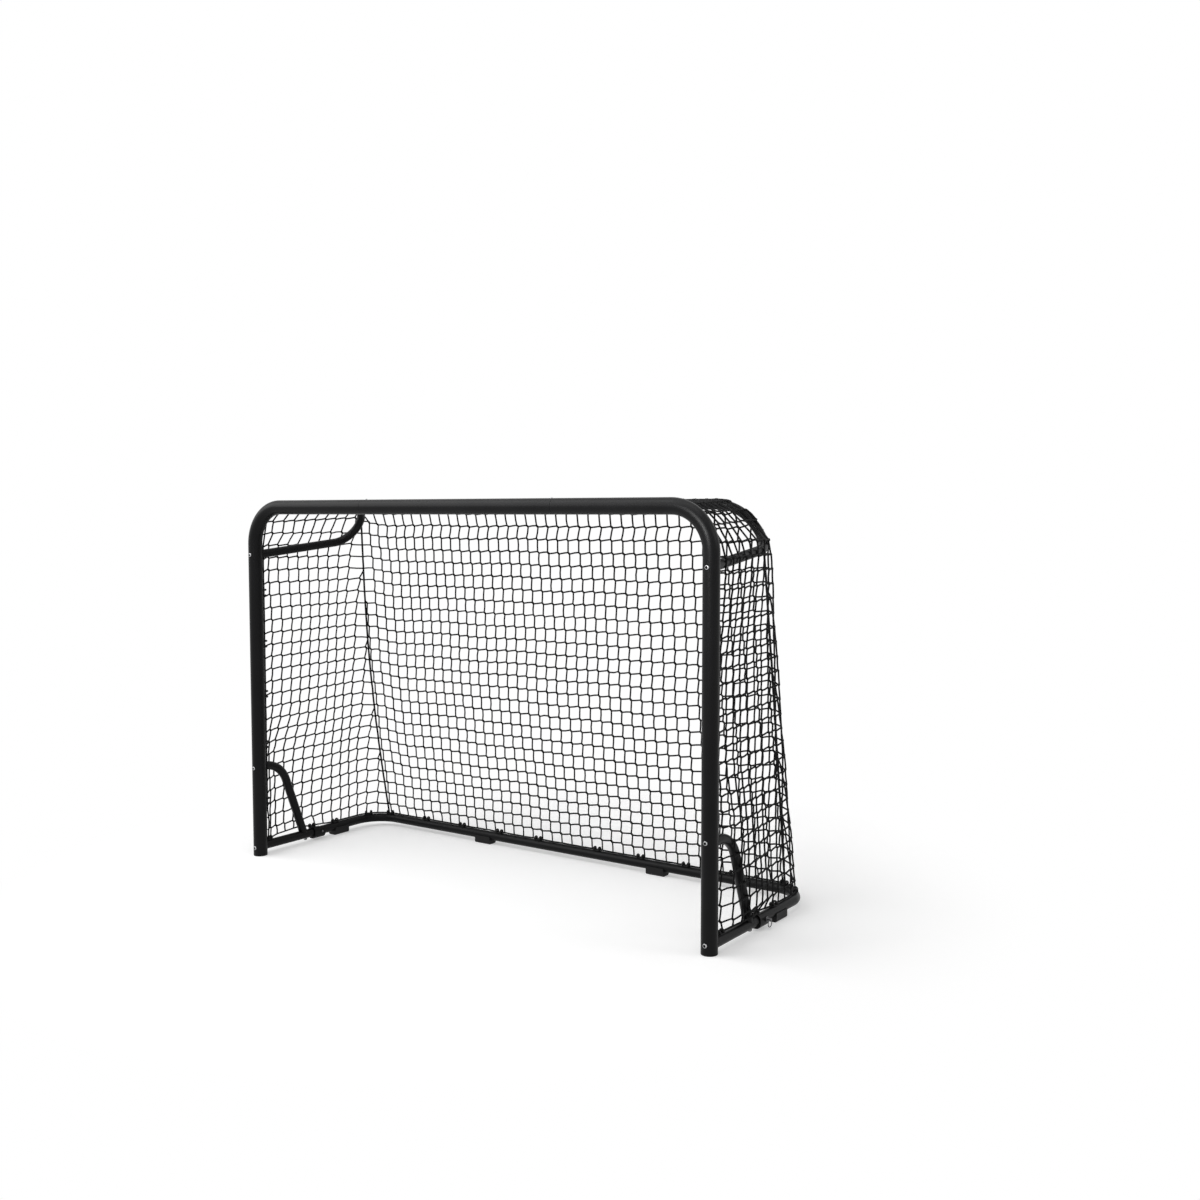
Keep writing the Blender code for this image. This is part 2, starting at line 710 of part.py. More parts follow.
def make_ring(name, eye, zinc):
    """A wire ring that hangs from the eye of a pin."""
    centre = eye - Vector((0.0, 0.0, RING_R))
    points = []
    for step in range(TUBE_SEGMENTS):
        angle = math.tau * step / TUBE_SEGMENTS
        out = Vector((0.0, math.sin(angle), math.cos(angle)))
        for turn in range(SMALL_SEGMENTS // 2):
            tilt = math.tau * turn / (SMALL_SEGMENTS // 2)
            offset = out * math.cos(tilt) + Vector((math.sin(tilt), 0.0, 0.0))
            points.append(centre + out * RING_R + offset * RING_WIRE_R)
    loop = SMALL_SEGMENTS // 2
    faces = []
    for step in range(TUBE_SEGMENTS):
        here = step * loop
        faces += skin_faces(here, (here + loop) % (TUBE_SEGMENTS * loop), loop)
    return add_mesh(name, points, faces, zinc)


def make_ground_frame(steel):
    """The U of tube on the floor that turns on the ring pins."""
    start_y = PIVOT_Y - TUBE_END_AHEAD
    for label, side in SIDES:
        path = list(reversed(ground_path(side, start_y, SEAM_X + GAP)))
        corner = make_tube(f"{label}_ground_corner", path, GROUND_R, TUBE_SEGMENTS, steel)
        cut(corner, pin_drill(f"{label}_ground_drill", side, steel))
    make_sectioned_bar("ground", REAR_Y, GROUND_Z, GROUND_R, steel)


def make_pad(name, centre, along, plastic):
    """A foot pad that cradles a ground tube."""
    along = Vector(along)
    right = along.cross(Vector((0.0, 0.0, 1.0)))
    top = GROUND_Z - PAD_TOP_BELOW_AXIS
    outline = (
        (-PAD_HALF_WIDTH + PAD_CHAMFER, 0.0),
        (PAD_HALF_WIDTH - PAD_CHAMFER, 0.0),
        (PAD_HALF_WIDTH, PAD_CHAMFER),
        (PAD_HALF_WIDTH, top),
        (-PAD_HALF_WIDTH, top),
        (-PAD_HALF_WIDTH, PAD_CHAMFER),
    )
    middle = Vector((centre[0], centre[1], 0.0))
    start = middle - along * PAD_LENGTH / 2
    pad = make_prism(name, outline, start, right, (0.0, 0.0, 1.0), along, PAD_LENGTH, plastic)
    axis = Vector((centre[0], centre[1], GROUND_Z))
    cradle = round_cutter(
        f"{name}_cradle",
        axis - along * PAD_LENGTH,
        axis + along * PAD_LENGTH,
        around_radius(GROUND_R, TUBE_SEGMENTS),
        TUBE_SEGMENTS,
        plastic,
    )
    cut(pad, cradle)


def make_pads(plastic):
    """Pads under the side tubes behind the collars, and under the rear bar."""
    for label, side in SIDES:
        side_centre = (side * SIDE_X, POST_Y + SIDE_PAD_SETBACK)
        make_pad(f"{label}_side_pad", side_centre, (0.0, 1.0, 0.0), plastic)
        rear_centre = (side * REAR_PAD_X, REAR_Y)
        make_pad(f"{label}_rear_pad", rear_centre, (1.0, 0.0, 0.0), plastic)


def make_lattice(name, surface, across, upward, material):
    """A net of square strands as one closed body.

    surface(u, v) gives points, and across and upward list the u and v of the strands. Each crossing is a
    box of eight corners, four on the outer face and then four on the inner one.
    """
    points = []
    for v in upward:
        for u in across:
            centre = surface(u, v)
            along_u = surface(min(u + SLOPE_STEP, 1.0), v) - surface(max(u - SLOPE_STEP, 0.0), v)
            along_v = surface(u, min(v + SLOPE_STEP, 1.0)) - surface(u, max(v - SLOPE_STEP, 0.0))
            along_u, along_v = along_u.normalized(), along_v.normalized()
            normal = along_u.cross(along_v).normalized()
            for lift in (0.5, -0.5):
                for step_u, step_v in ((-0.5, -0.5), (0.5, -0.5), (0.5, 0.5), (-0.5, 0.5)):
                    shift = along_u * step_u + along_v * step_v + normal * lift
                    points.append(centre + shift * STRAND)
    columns, rows = len(across), len(upward)
    faces = []
    for row in range(rows):
        for column in range(columns):
            knot = (row * columns + column) * 8
            faces.append((knot, knot + 1, knot + 2, knot + 3))
            faces.append((knot + 7, knot + 6, knot + 5, knot + 4))
            faces += strand_or_end(knot, knot + 8, (1, 2), (0, 3), column < columns - 1)
            faces += strand_or_end(knot, knot + 8 * columns, (2, 3), (1, 0), row < rows - 1)
            if column == 0:
                faces.append((knot + 3, knot + 7, knot + 4, knot))
            if row == 0:
                faces.append((knot, knot + 4, knot + 5, knot + 1))
    return add_mesh(name, points, faces, material)


def strand_or_end(knot, following, near, far, has_following):
    """The four sides of a strand between two knots, or the closed side of a last knot."""
    a, b = knot + near[0], knot + near[1]
    if not has_following:
        return [(a, a + 4, b + 4, b)]
    c, d = following + far[0], following + far[1]
    return [(a, c, d, b), (b + 4, d + 4, c + 4, a + 4), (a + 4, c + 4, c, a), (b, d, d + 4, b + 4)]


def steps_between(count, start=0.0, end=1.0):
    """Evenly spaced values from start to end, both included."""
    return [start + (end - start) * step / count for step in range(count + 1)]


class NetEdge:
    """An edge of the net that climbs one haunch, crosses the middle and goes down the other haunch."""

    def __init__(self, left_path, right_path, haunch_out, middle_out, distance, room):
        self.paths = (left_path, right_path)
        self.haunch_out = Vector(haunch_out)
        self.middle_out = Vector(middle_out)
        self.distance = distance
        self.room = room

    def point(self, side, climb, inward):
        """The point after this share of a haunch, and then this share of the way from it to the middle."""
        path = self.paths[0] if side < 0 else self.paths[1]
        out = self.haunch_out.lerp(self.middle_out, climb)
        out = Vector((side * out.x, out.y, out.z))
        if inward == 0.0:
            room = self.room * min((1.0 - climb) / NET_ROOM_FADE, 1.0)
            return beside(path, climb, out, self.distance + room)
        end, _ = along_path(path, 1.0)
        flat = Vector((0.0, out.y, out.z)).normalized()
        return Vector((end.x * (1.0 - inward), end.y, end.z)) + flat * self.distance


def haunched_surface(first_edge, last_edge):
    """A surface between two such edges. u runs across the goal and v from the first edge to the last."""

    def surface(u, v):
        side = -1.0 if u < 0.5 else 1.0
        near = min(u, 1.0 - u)
        climb = min(near / HAUNCH_SHARE, 1.0)
        inward = max((near - HAUNCH_SHARE) / (0.5 - HAUNCH_SHARE), 0.0)
        return first_edge(side, climb, inward).lerp(last_edge(side, climb, inward), v)

    return surface


def across_positions(climbs):
    """The u of the strands on the first haunch, on the middle and on the other haunch."""
    haunch = [HAUNCH_SHARE * climb for climb in climbs]
    middle = steps_between(MIDDLE_GAPS, HAUNCH_SHARE, 1.0 - HAUNCH_SHARE)
    return haunch, middle, [1.0 - u for u in reversed(haunch)]


def rearmost_cut(path):
    """The part of a path up to its rearmost point, and the part from there on."""
    index = max(range(len(path)), key=lambda step: path[step].y)
    return path[: index + 1], path[index:]


def make_back_net(cord):
    """The sloping net from the bow down to the rear bar."""
    left, right = (rearmost_cut(bow_path(side, 0.0, HAUNCH_END_X))[1] for side in (-1.0, 1.0))
    top = NetEdge(left, right, *BACK_NET_TOP_OUT, BOW_R + NET_OFFSET, NET_BEND_ROOM)
    corner_x = SIDE_X - GROUND_BEND_R * (1.0 - math.cos(math.radians(NET_CORNER_DEG)))
    bend_x = SIDE_X - GROUND_BEND_R

    def low_edge(side, climb, inward):
        x = (corner_x + (HAUNCH_END_X - corner_x) * climb) * (1.0 - inward)
        over = max(x - bend_x, 0.0)
        y = REAR_Y - GROUND_BEND_R + math.sqrt(GROUND_BEND_R**2 - over**2)
        return Vector((side * x, y, GROUND_Z + GROUND_R + NET_OFFSET))

    surface = haunched_surface(low_edge, top.point)
    haunch, middle, descent = across_positions(BACK_NET_CLIMBS)
    make_lattice("back_net", surface, haunch + middle + descent, steps_between(BACK_NET_ROWS), cord)


def side_net_foot(side, front_y):
    """The lower edge of a side net: inside the stub and the collar, then on top of the ground tube."""
    lift = GROUND_R + NET_OFFSET
    inside = side * (SIDE_X - SIDE_NET_INSET)
    path = [
        Vector((inside, front_y, GROUND_Z + SIDE_NET_RISE)),
        Vector((inside, PIVOT_Y + SIDE_NET_LEVEL_END, GROUND_Z + SIDE_NET_RISE)),
        Vector((side * (SIDE_X - lift / 2), PIVOT_Y + SIDE_NET_CLIMB_END, GROUND_Z + SIDE_NET_CLIMB)),
    ]
    for step in steps_between(round(SIDE_NET_CORNER_DEG / BEND_STEP_DEG)):
        turn = math.radians(SIDE_NET_CORNER_DEG) * step
        x = SIDE_X - GROUND_BEND_R * (1.0 - math.cos(turn))
        y = REAR_Y - GROUND_BEND_R * (1.0 - math.sin(turn))
        path.append(Vector((side * x, y, GROUND_Z + lift)))
    return path


def make_side_nets(cord):
    """The nets between the posts, the bow's arms and the ground frame."""
    inset_from_post = SIDE_NET_INSET - SIDE_INSET
    setback = math.sqrt((POST_R + NET_OFFSET) ** 2 - inset_from_post**2)
    for label, side in SIDES:
        foot = side_net_foot(side, POST_Y + setback)
        arm = rearmost_cut(bow_path(side, setback, HAUNCH_END_X))[0]
        out_x, out_y, out_z = SIDE_NET_TOP_OUT
        inward = Vector((side * out_x, out_y, out_z))

        def surface(u, v, foot=foot, arm=arm, inward=inward):
            top = beside(arm, u, inward, BOW_R + NET_OFFSET)
            return along_path(foot, u)[0].lerp(top, v)

        across, upward = SIDE_NET_GAPS
        make_lattice(f"{label}_side_net", surface, steps_between(across), steps_between(upward), cord)


def make_roof_net(cord):
    """The slack roof of the net, from the crossbar to the bow, and its haunches down to the bow's arms."""
    front_paths = []
    for side in (-1.0, 1.0):
        start = (side * POST_X, POST_Y, HAUNCH_START_Z)
        corner = (side * POST_X, POST_Y, CROSSBAR_Z)
        end = (side * HAUNCH_END_X, POST_Y, CROSSBAR_Z)
        front_paths.append(rounded_path((start, corner, end), (FRONT_BEND_R,)))
    bow_paths = [bow_path(side, HAUNCH_START_SETBACK, HAUNCH_END_X) for side in (-1.0, 1.0)]
    front = NetEdge(*front_paths, *ROOF_FRONT_OUT, POST_R + NET_OFFSET, GAP)
    rear = NetEdge(*bow_paths, *ROOF_REAR_OUT, BOW_R + NET_OFFSET, NET_BEND_ROOM)
    taut = haunched_surface(front.point, rear.point)

    def surface(u, v):
        sag = ROOF_SAG * math.sin(math.pi * u) * math.sin(math.pi * v)
        return taut(u, v) - Vector((0.0, 0.0, sag))

    climb, middle, descent = across_positions(HAUNCH_CLIMBS)
    rows = steps_between(ROOF_ROWS)
    make_lattice("roof_net", surface, middle, rows, cord)
    make_lattice("left_haunch_net", surface, climb, rows, cord)
    make_lattice("right_haunch_net", surface, descent, rows, cord)


def main():
    clear_scene()
    steel, zinc, plastic, cord = painted_steel(), zinc_steel(), black_plastic(), net_cord()
    make_posts(steel, plastic)
    make_crossbar(steel, zinc)
    make_bow(steel, zinc)
    make_braces(steel, zinc)
    make_stubs(steel, zinc)
    make_collars(steel)
    make_pins(zinc)
    make_ground_frame(steel)
    make_pads(plastic)
    make_back_net(cord)
    make_side_nets(cord)
    make_roof_net(cord)


main()
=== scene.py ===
import json
import math

import bmesh
import bpy
import numpy as np
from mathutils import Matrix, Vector

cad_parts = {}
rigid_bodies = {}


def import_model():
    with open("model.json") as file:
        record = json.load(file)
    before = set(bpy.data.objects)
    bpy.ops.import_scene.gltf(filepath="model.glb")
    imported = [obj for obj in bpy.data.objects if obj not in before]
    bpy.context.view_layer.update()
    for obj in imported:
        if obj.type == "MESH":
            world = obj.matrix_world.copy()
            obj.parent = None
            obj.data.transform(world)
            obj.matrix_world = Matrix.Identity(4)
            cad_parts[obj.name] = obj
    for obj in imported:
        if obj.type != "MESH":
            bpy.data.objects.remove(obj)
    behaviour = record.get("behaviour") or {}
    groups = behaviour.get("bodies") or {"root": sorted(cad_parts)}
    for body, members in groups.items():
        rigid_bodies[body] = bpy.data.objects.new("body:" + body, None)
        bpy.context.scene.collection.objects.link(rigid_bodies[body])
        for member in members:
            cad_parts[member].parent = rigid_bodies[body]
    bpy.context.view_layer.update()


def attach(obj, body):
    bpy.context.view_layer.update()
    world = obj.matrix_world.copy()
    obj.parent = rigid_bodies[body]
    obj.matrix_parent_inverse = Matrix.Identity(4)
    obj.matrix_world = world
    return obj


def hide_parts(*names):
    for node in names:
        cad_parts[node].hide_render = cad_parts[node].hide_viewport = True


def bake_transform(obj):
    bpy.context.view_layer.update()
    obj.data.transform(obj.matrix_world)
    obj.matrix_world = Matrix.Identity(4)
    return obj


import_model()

# Metres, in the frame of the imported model. X runs along the crossbar, Y from the mouth to the back, Z up.

# Camera: the eye's place, its turn to the left of the Y axis, its tilt below level, and its lens.
EYE = (2.5601, -3.2039, 1.1572)
EYE_YAW = 0.60733
EYE_TILT = 0.06632
LENS_MM = 39.13
SENSOR_MM = 36.0
VIEW_REACH = 100.0

# Tubes. A lip is the small rounding of an edge.
GAP = 0.0003
WALL = 0.0015
POST_R = 0.0231
BOW_R = 0.0141
BRACE_R = 0.0143
GROUND_R = 0.0151
LIP = 0.0004
BORE_DEPTH = 0.020

# Front frame. The screw's rows are shares of its head's radius, and distances below its seat.
POST_X = 0.8769
POST_Y = -0.2780
CROSSBAR_Z = 1.1769
FRONT_BEND_R = 0.122
SEAM_X = 0.371
SCREW_X = 0.360
SCREW_HEAD_R = 0.0048
SCREW_ROWS = (
    (0.20, -0.0004), (0.34, -0.0009), (0.40, -0.0024), (0.75, -0.0021),
    (0.95, -0.0011), (1.0, 0.0), (0.50, 0.0), (0.50, 0.006),
)
CAP_FLANGE = 0.0030

# Bow, braces, stubs and ground frame. Setbacks count from the posts' axis.
BOW_JOINT_Z = 1.0187
BOW_DIP = (0.0435, 0.447, 1.067)
BOW_TURN = (0.133, 0.361, 1.182)
BOW_DIP_BEND_R = 0.080
BOW_TURN_BEND_R = 0.090
BRACE_Z = 0.300
BRACE_KNEE_SETBACK = 0.100
BRACE_FOOT_SETBACK = 0.2022
BRACE_BEND_R = 0.098
SIDE_X = 0.8847
GROUND_Z = 0.0281
GROUND_BEND_R = 0.100
REAR_Y = 0.2867
PIVOT_Y = -0.0055
TUBE_END_AHEAD = 0.010
STUB_END_Y = PIVOT_Y - 0.0187
PIN_HOLE_R = 0.0043

# Bolts, with a domed head and a six-sided socket. The crown is the flat share of the head's radius.
BOLT_HEAD_R = 0.0062
BOLT_HEAD_H = 0.0030
BOLT_CROWN = 0.68
BOLT_SOCKET_R = 0.0040
BOLT_SOCKET_DEPTH = 0.0026
BOLT_SHANK_R = 0.0030
POST_BOLTS = (("bow", BOW_JOINT_Z, 0.066), ("brace", BRACE_Z, 0.056), ("stub", GROUND_Z, 0.066))
FOOT_BOLT_SHANK = 0.055

# Ring pins and their rings.
PIN_SEAT_X = SIDE_X + 0.0188
PIN_R = 0.0040
PIN_HEAD_R = 0.0075
PIN_HEAD_H = 0.0030
PIN_EYE_R = 0.0045
PIN_EYE_LENGTH = 0.012
PIN_EYE_HOLE_R = 0.00258
PIN_SHANK = 0.0411
RING_X = 0.91394
RING_R = 0.0105
RING_WIRE_R = 0.00125

# Net: its cells, strands and knots. A knot's rows are distances along it and widths, in knot radii.
PITCH = 0.0414
ROW_PITCH = 0.04186
FIRST_ROW_Z = 0.0815
SIDE_ROWS = 23
SIDE_COLUMNS = 14
BACK_ROWS = 27
FIRST_COLUMN = 0.027
BACK_COLUMNS = 19
ROOF_LINES = 18
ROOF_COLUMNS = 9
STRAND_R = 0.0026
STRAND_STRAY = 0.0006
SHORT_RUN = 0.0008
LONG_RUN = 0.015
STRAND_REFERENCE = (0.31, 0.52, 0.79)
KNOT_R = 0.0036
KNOT_JOG = 0.0026
KNOT_ROWS = ((-1.35, 0.45), (-0.80, 0.92), (0.80, 0.92), (1.35, 0.45))
KNOT_LUMPS = 0.12
KNOT_SIDES = 8
EDGE_CORD_R = 0.0026
CORNER_CORD_R = 0.0034
CORD_STRAY = 0.0003
OVER_TUBE = 0.0030

# Net: its height and depth, and where it starts behind the posts. TINY keeps divisions from zero.
TINY = 1e-9
NET_TOP_Z = 1.190
NET_LOW_Z = 0.050
NET_TOP_Y = 0.0985
NET_LOW_Y = 0.2870
NET_FRONT_X = 0.8699
NET_FRONT_Y = -0.2508
FOOT_CORD_Z = GROUND_Z + GROUND_R + EDGE_CORD_R + 0.0008

# Net: its corner cords, with their swing outward and back, and the edge cords.
CORD_TOP = (0.803, 0.142, 1.112)
CORD_FOOT = (0.8155, 0.280, 0.0475)
CORD_BOW_OUT = 0.010
CORD_BOW_BACK = -0.015
CORD_STEPS = 26
CORD_STEP_DEG = 6.0
CORD_FOOT_LIFT = 0.002
TUBE_CORD_Y = 0.050
POST_CORD_Z = 0.150
POST_CORD_STEP = 0.0427
REAR_CORD_X = 0.72
REAR_CORD_STEP = 0.04

# Side nets: their lean, their lift, the bend towards the corner cord, the bulge over brace and bow, and the
# slack near the ground. Turn and knee lie this far ahead of the corner cord, at the bottom and at the top.
# A wander's pair is its size back and up. The other pairs here, and those for the back net's bulge, drop and
# lean, are where a change starts and its span, which is below 0 where the change fades out.
SIDE_TOP_X = 0.849
SIDE_LEAN = 0.022
SIDE_LIFT = {-1.0: 0.0045, 1.0: -0.0030}
SIDE_LEAN_START_Z = 0.52
CORNER_LEAN = 0.15
CORNER_LEAN_START_Z = 0.85
SIDE_TURN = (0.093, 0.062)
SIDE_KNEE = (0.022, 0.013)
SIDE_STEPS = 24
SIDE_TURN_STEPS = 12
FRONT_TURN = 2.2
FRONT_PUSH = 8.0
OVER_BRACE = (0.020, 0.20)
OVER_ARM = 0.012
ARM_SPAN_ABOVE = 0.055
ARM_SPAN_BELOW = 0.30
ARM_END = 0.93
LOW_SLACK_Z = (0.30, -0.25)
LOW_SLACK_Y = (0.05, -0.15)
SIDE_SEED = 1.3
SIDE_WANDER = (0.0022, 0.0020)
LOW_WANDER = (0.0045, 0.0050)
CORNER_GAP_ALONG = 0.008
COLUMN_END = 0.7

# Back net: its bulge, drop and lean near the bow, and how far out and back from the bow's axis a row ends.
BACK_BULGE = 0.034
BULGE_TOP = (1.185, -0.065)
BULGE_LOW = (0.45, 0.5)
BACK_DROP = 0.013
BACK_DROP_ROWS = 5.0
BACK_DROP_X = (0.80, -0.12)
BACK_SEED = 2.7
BACK_WANDER_X = 0.0024
BACK_WANDER = 0.0020
BEND_START_X = 0.70
BEND_START_Z = 1.090
TOP_LEAN = 0.017
TOP_LEAN_Z = (1.06, 0.11)
TOP_LEAN_X = (0.74, -0.12)
CORNER_PULL = 5
CORNER_PULL_FADE = 0.12
CORNER_GAP = 0.006
ROW_END = (0.004, 0.9 * BOW_R)
OVER_BAR_DEG = (-20.0, 15.0, 50.0, 80.0)
WRAP_TIGHT = 0.0008

# Roof and haunches: the lacing's direction on the crossbar, the places of the ends and the slack.
LACED = (0.894, 0.448)
LACED_OUT = POST_R + OVER_TUBE + 0.002
HAUNCH_END = (0.010, 0.002, 0.012)
BEND_END = (0.006, -0.002, 0.015)
ROOF_END = (0.0, -0.003, BOW_R + OVER_TUBE - 0.0006)
ROOF_SLACK = 0.006
ROOF_SPAN = (0.02, 0.985)
ROOF_SEED = 4.1
ROOF_WANDER = (0.0020, 0.0022, 0.0016)

# Net clips: two hooks on a saddle.
CLIP_SPACING = 0.171
FIRST_REAR_CLIP_X = 0.123
REAR_CLIPS = 4
CROSSBAR_CLIPS = 9
CLIP_LENGTH = 0.030
CLIP_WIDTH = 0.015
CLIP_THICK = 0.0028
CLIP_SINK = 0.0002
HOOK_SPREAD = 0.0095
HOOK_R = 0.0060
HOOK_WIRE_R = 0.0034
HOOK_LIFT = HOOK_R - 0.0006
HOOK_FLAT = 0.95
HOOK_START_DEG = -150.0
HOOK_STEP_DEG = 27.0
HOOK_STEPS = 10
HOOK_TAPER = 0.55
POST_CLIP_HEIGHTS = (0.182, 0.376, 0.548, 0.7185, 0.891)
CLIP_INWARD = 0.26
STUB_CLIP_Y = NET_FRONT_Y + 0.016
COLLAR_CLIP_Y = -0.0385
COLLAR_TOP_Z = 0.0468
SIDE_CLIP_Y = 0.072
BEND_CLIP_DEG = (27.0, 74.0)

# Floor: its own glow, so that it shows white, and the distances over which it fades to plain white.
FLOOR_HALF = 30.0
FLOOR_Z = -0.0002
FLOOR_GLOW = 0.325
FLOOR_FADE = (1.0, 1.6)

# Lamps: place, target, size, power and spread in degrees. Ambient light comes from the world.
LAMPS = {
    "key_light": ((0.4, -0.9, 4.0), (0.0, 0.0, 0.3), (3.4, 2.4), 52.0, 180.0),
    "left_light": ((-2.6, -2.0, 3.3), (0.0, 0.0, 0.9), (3.6, 4.0), 120.0, 180.0),
    "side_light": ((3.4, 0.6, 2.6), (0.6, 0.0, 0.7), (1.2, 1.8), 14.0, 180.0),
    "front_light": ((0.7, -2.8, 2.0), (0.7, -0.28, 1.6), (1.8, 1.0), 14.0, 52.0),
}
AMBIENT = 0.30
WHITE = (1.0, 1.0, 1.0, 1.0)
FLOOR_WHITE = (0.80, 0.80, 0.80, 1.0)

# The two sides, how finely the meshes are divided, and where the middle of a texture's values lies.
SIDES = (("left", -1.0), ("right", 1.0))
POST_SIDES = 48
TUBE_SIDES = 36
SMALL_SIDES = 24
CORD_SIDES = 10
STRAND_SIDES = 6
BEND_STEP_DEG = 4.0
SHARP_DEG = 38.0
CORD_SHARP_DEG = 80.0
TEXTURE_SPAN = (0.3, 0.7)
rng = np.random.default_rng(17)


# Materials.


class Shader:
    """The node tree of a material or of the world, in the making."""

    def __init__(self, owner):
        owner.use_nodes = True
        self.nodes = owner.node_tree.nodes
        self.links = owner.node_tree.links

    def feed(self, node, inputs):
        """Sets a node's inputs. Each is a value, or the socket that feeds it."""
        for name, value in inputs.items():
            if isinstance(value, bpy.types.NodeSocket):
                self.links.new(value, node.inputs[name])
            else:
                node.inputs[name].default_value = value

    def add(self, kind, inputs=None, **settings):
        node = self.nodes.new("ShaderNode" + kind)
        for name, value in settings.items():
            setattr(node, name, value)
        self.feed(node, inputs or {})
        return node

    def math(self, operation, *values):
        return self.add("Math", dict(enumerate(values)), operation=operation).outputs[0]

    def mix(self, share, first, second):
        return self.add("MixShader", {0: share, 1: first, 2: second}).outputs[0]

    def place(self):
        return self.add("TexCoord").outputs["Object"]

    def noise(self, scale, detail, roughness=0.5):
        inputs = {"Vector": self.place(), "Scale": scale, "Detail": detail, "Roughness": roughness}
        return self.add("TexNoise", inputs).outputs["Fac"]

    def range(self, value, low, high):
        """Maps the middle of a texture's values onto a range."""
        start, end = TEXTURE_SPAN
        inputs = {"Value": value, "From Min": start, "From Max": end, "To Min": low, "To Max": high}
        return self.add("MapRange", inputs).outputs["Result"]

    def ramp(self, value, dark, light):
        node = self.add("ValToRGB", {"Fac": value})
        for element, place, colour in zip(node.color_ramp.elements, TEXTURE_SPAN, (dark, light)):
            element.position = place
            element.color = (*colour, 1.0)
        return node.outputs["Color"]

    def bump(self, height, distance, strength, before=None):
        inputs = {"Height": height, "Distance": distance, "Strength": strength}
        if before is not None:
            inputs["Normal"] = before
        return self.add("Bump", inputs).outputs["Normal"]

    def glow(self, strength):
        return self.add("Emission", {"Color": WHITE, "Strength": strength}).outputs[0]

    def seen_ray(self):
        """1 for rays from the camera, in reflections and through glass."""
        path = self.add("LightPath").outputs
        seen = self.math("MAXIMUM", path["Is Camera Ray"], path["Is Glossy Ray"])
        return self.math("MAXIMUM", seen, path["Is Transmission Ray"])

    def surface(self, colour, roughness, normal, **constants):
        """Feeds the material's surface. A constant's name has _ for each space."""
        inputs = {name.replace("_", " "): value for name, value in constants.items()}
        inputs.update({"Base Color": colour, "Roughness": roughness, "Normal": normal})
        self.feed(self.nodes["Principled BSDF"], inputs)


def powder_coat():
    """Satin black powder coat with a fine orange peel."""
    material = bpy.data.materials.new("satin_powder_coat")
    tree = Shader(material)
    peel = tree.noise(620.0, 2.0, 0.6)
    waves = tree.bump(peel, 0.00012, 0.35)
    tree.surface(
        tree.ramp(tree.noise(9.0, 4.0), (0.0030, 0.0030, 0.0033), (0.0052, 0.0052, 0.0056)),
        tree.range(peel, 0.30, 0.41),
        tree.bump(tree.noise(2600.0, 1.0), 0.00004, 0.30, waves),
        Specular_IOR_Level=0.12,
    )
    return material


def zinc(name, dark, light):
    """Zinc-plated steel, a little clouded."""
    material = bpy.data.materials.new(name)
    tree = Shader(material)
    cloud = tree.noise(160.0, 4.0)
    tree.surface(
        tree.ramp(cloud, dark, light),
        tree.range(cloud, 0.28, 0.44),
        tree.bump(tree.noise(1900.0, 2.0), 0.00003, 0.4),
        Metallic=1.0,
    )
    return material


def moulded_plastic():
    """Black plastic with a fine spark-eroded grain."""
    material = bpy.data.materials.new("grained_plastic")
    tree = Shader(material)
    broad = tree.noise(40.0, 3.0)
    grain = tree.add("TexVoronoi", {"Vector": tree.place(), "Scale": 1500.0}).outputs["Distance"]
    tree.surface(
        tree.ramp(broad, (0.0035, 0.0035, 0.0038), (0.0065, 0.0065, 0.0069)),
        tree.range(broad, 0.50, 0.62),
        tree.bump(grain, 0.00008, 0.5),
        Specular_IOR_Level=0.22,
    )
    return material


def braided_cord(name, twist_length):
    """Black cord. Its braid runs on the lay attribute: distance along the strand, and turn round it."""
    material = bpy.data.materials.new(name)
    tree = Shader(material)
    lay = tree.add("Attribute", attribute_name="lay").outputs["Vector"]
    split = tree.add("SeparateXYZ", {"Vector": lay}).outputs
    along = tree.math("DIVIDE", split["X"], twist_length)
    waves = []
    for hand in (1.0, -1.0):
        phase = tree.math("MULTIPLY_ADD", split["Y"], 2.0 * hand, along)
        waves.append(tree.math("SINE", tree.math("MULTIPLY", phase, math.tau)))
    braid = tree.bump(tree.math("MAXIMUM", *waves), 0.00025, 0.6)
    fuzz = tree.noise(700.0, 3.0)
    tree.surface(
        tree.ramp(tree.noise(14.0, 2.0), (0.0022, 0.0022, 0.0024), (0.0044, 0.0044, 0.0047)),
        tree.range(fuzz, 0.62, 0.80),
        tree.bump(fuzz, 0.0001, 0.4, braid),
        Specular_IOR_Level=0.12,
    )
    return material


STEEL = powder_coat()
ZINC = zinc("plated_zinc", (0.34, 0.345, 0.35), (0.56, 0.56, 0.57))
# The next, darker copy of the plated zinc, for the ring pins and rings, is painted shade, not a duller
# plating.
SHADED_ZINC = zinc("dull_zinc", (0.06, 0.06, 0.063), (0.14, 0.14, 0.145))
PLASTIC = moulded_plastic()
NET_CORD = braided_cord("net_braid", 0.006)
THICK_CORD = braided_cord("edge_braid", 0.009)


# Mesh making.


def new_object(name, points, faces):
    """An object in the scene, with its faces turned outward."""
    mesh = bpy.data.meshes.new(name)
    mesh.from_pydata([tuple(point) for point in points], [], faces)
    work = bmesh.new()
    work.from_mesh(mesh)
    bmesh.ops.recalc_face_normals(work, faces=work.faces)
    work.to_mesh(mesh)
    work.free()
    piece = bpy.data.objects.new(name, mesh)
    bpy.context.scene.collection.objects.link(piece)
    return piece


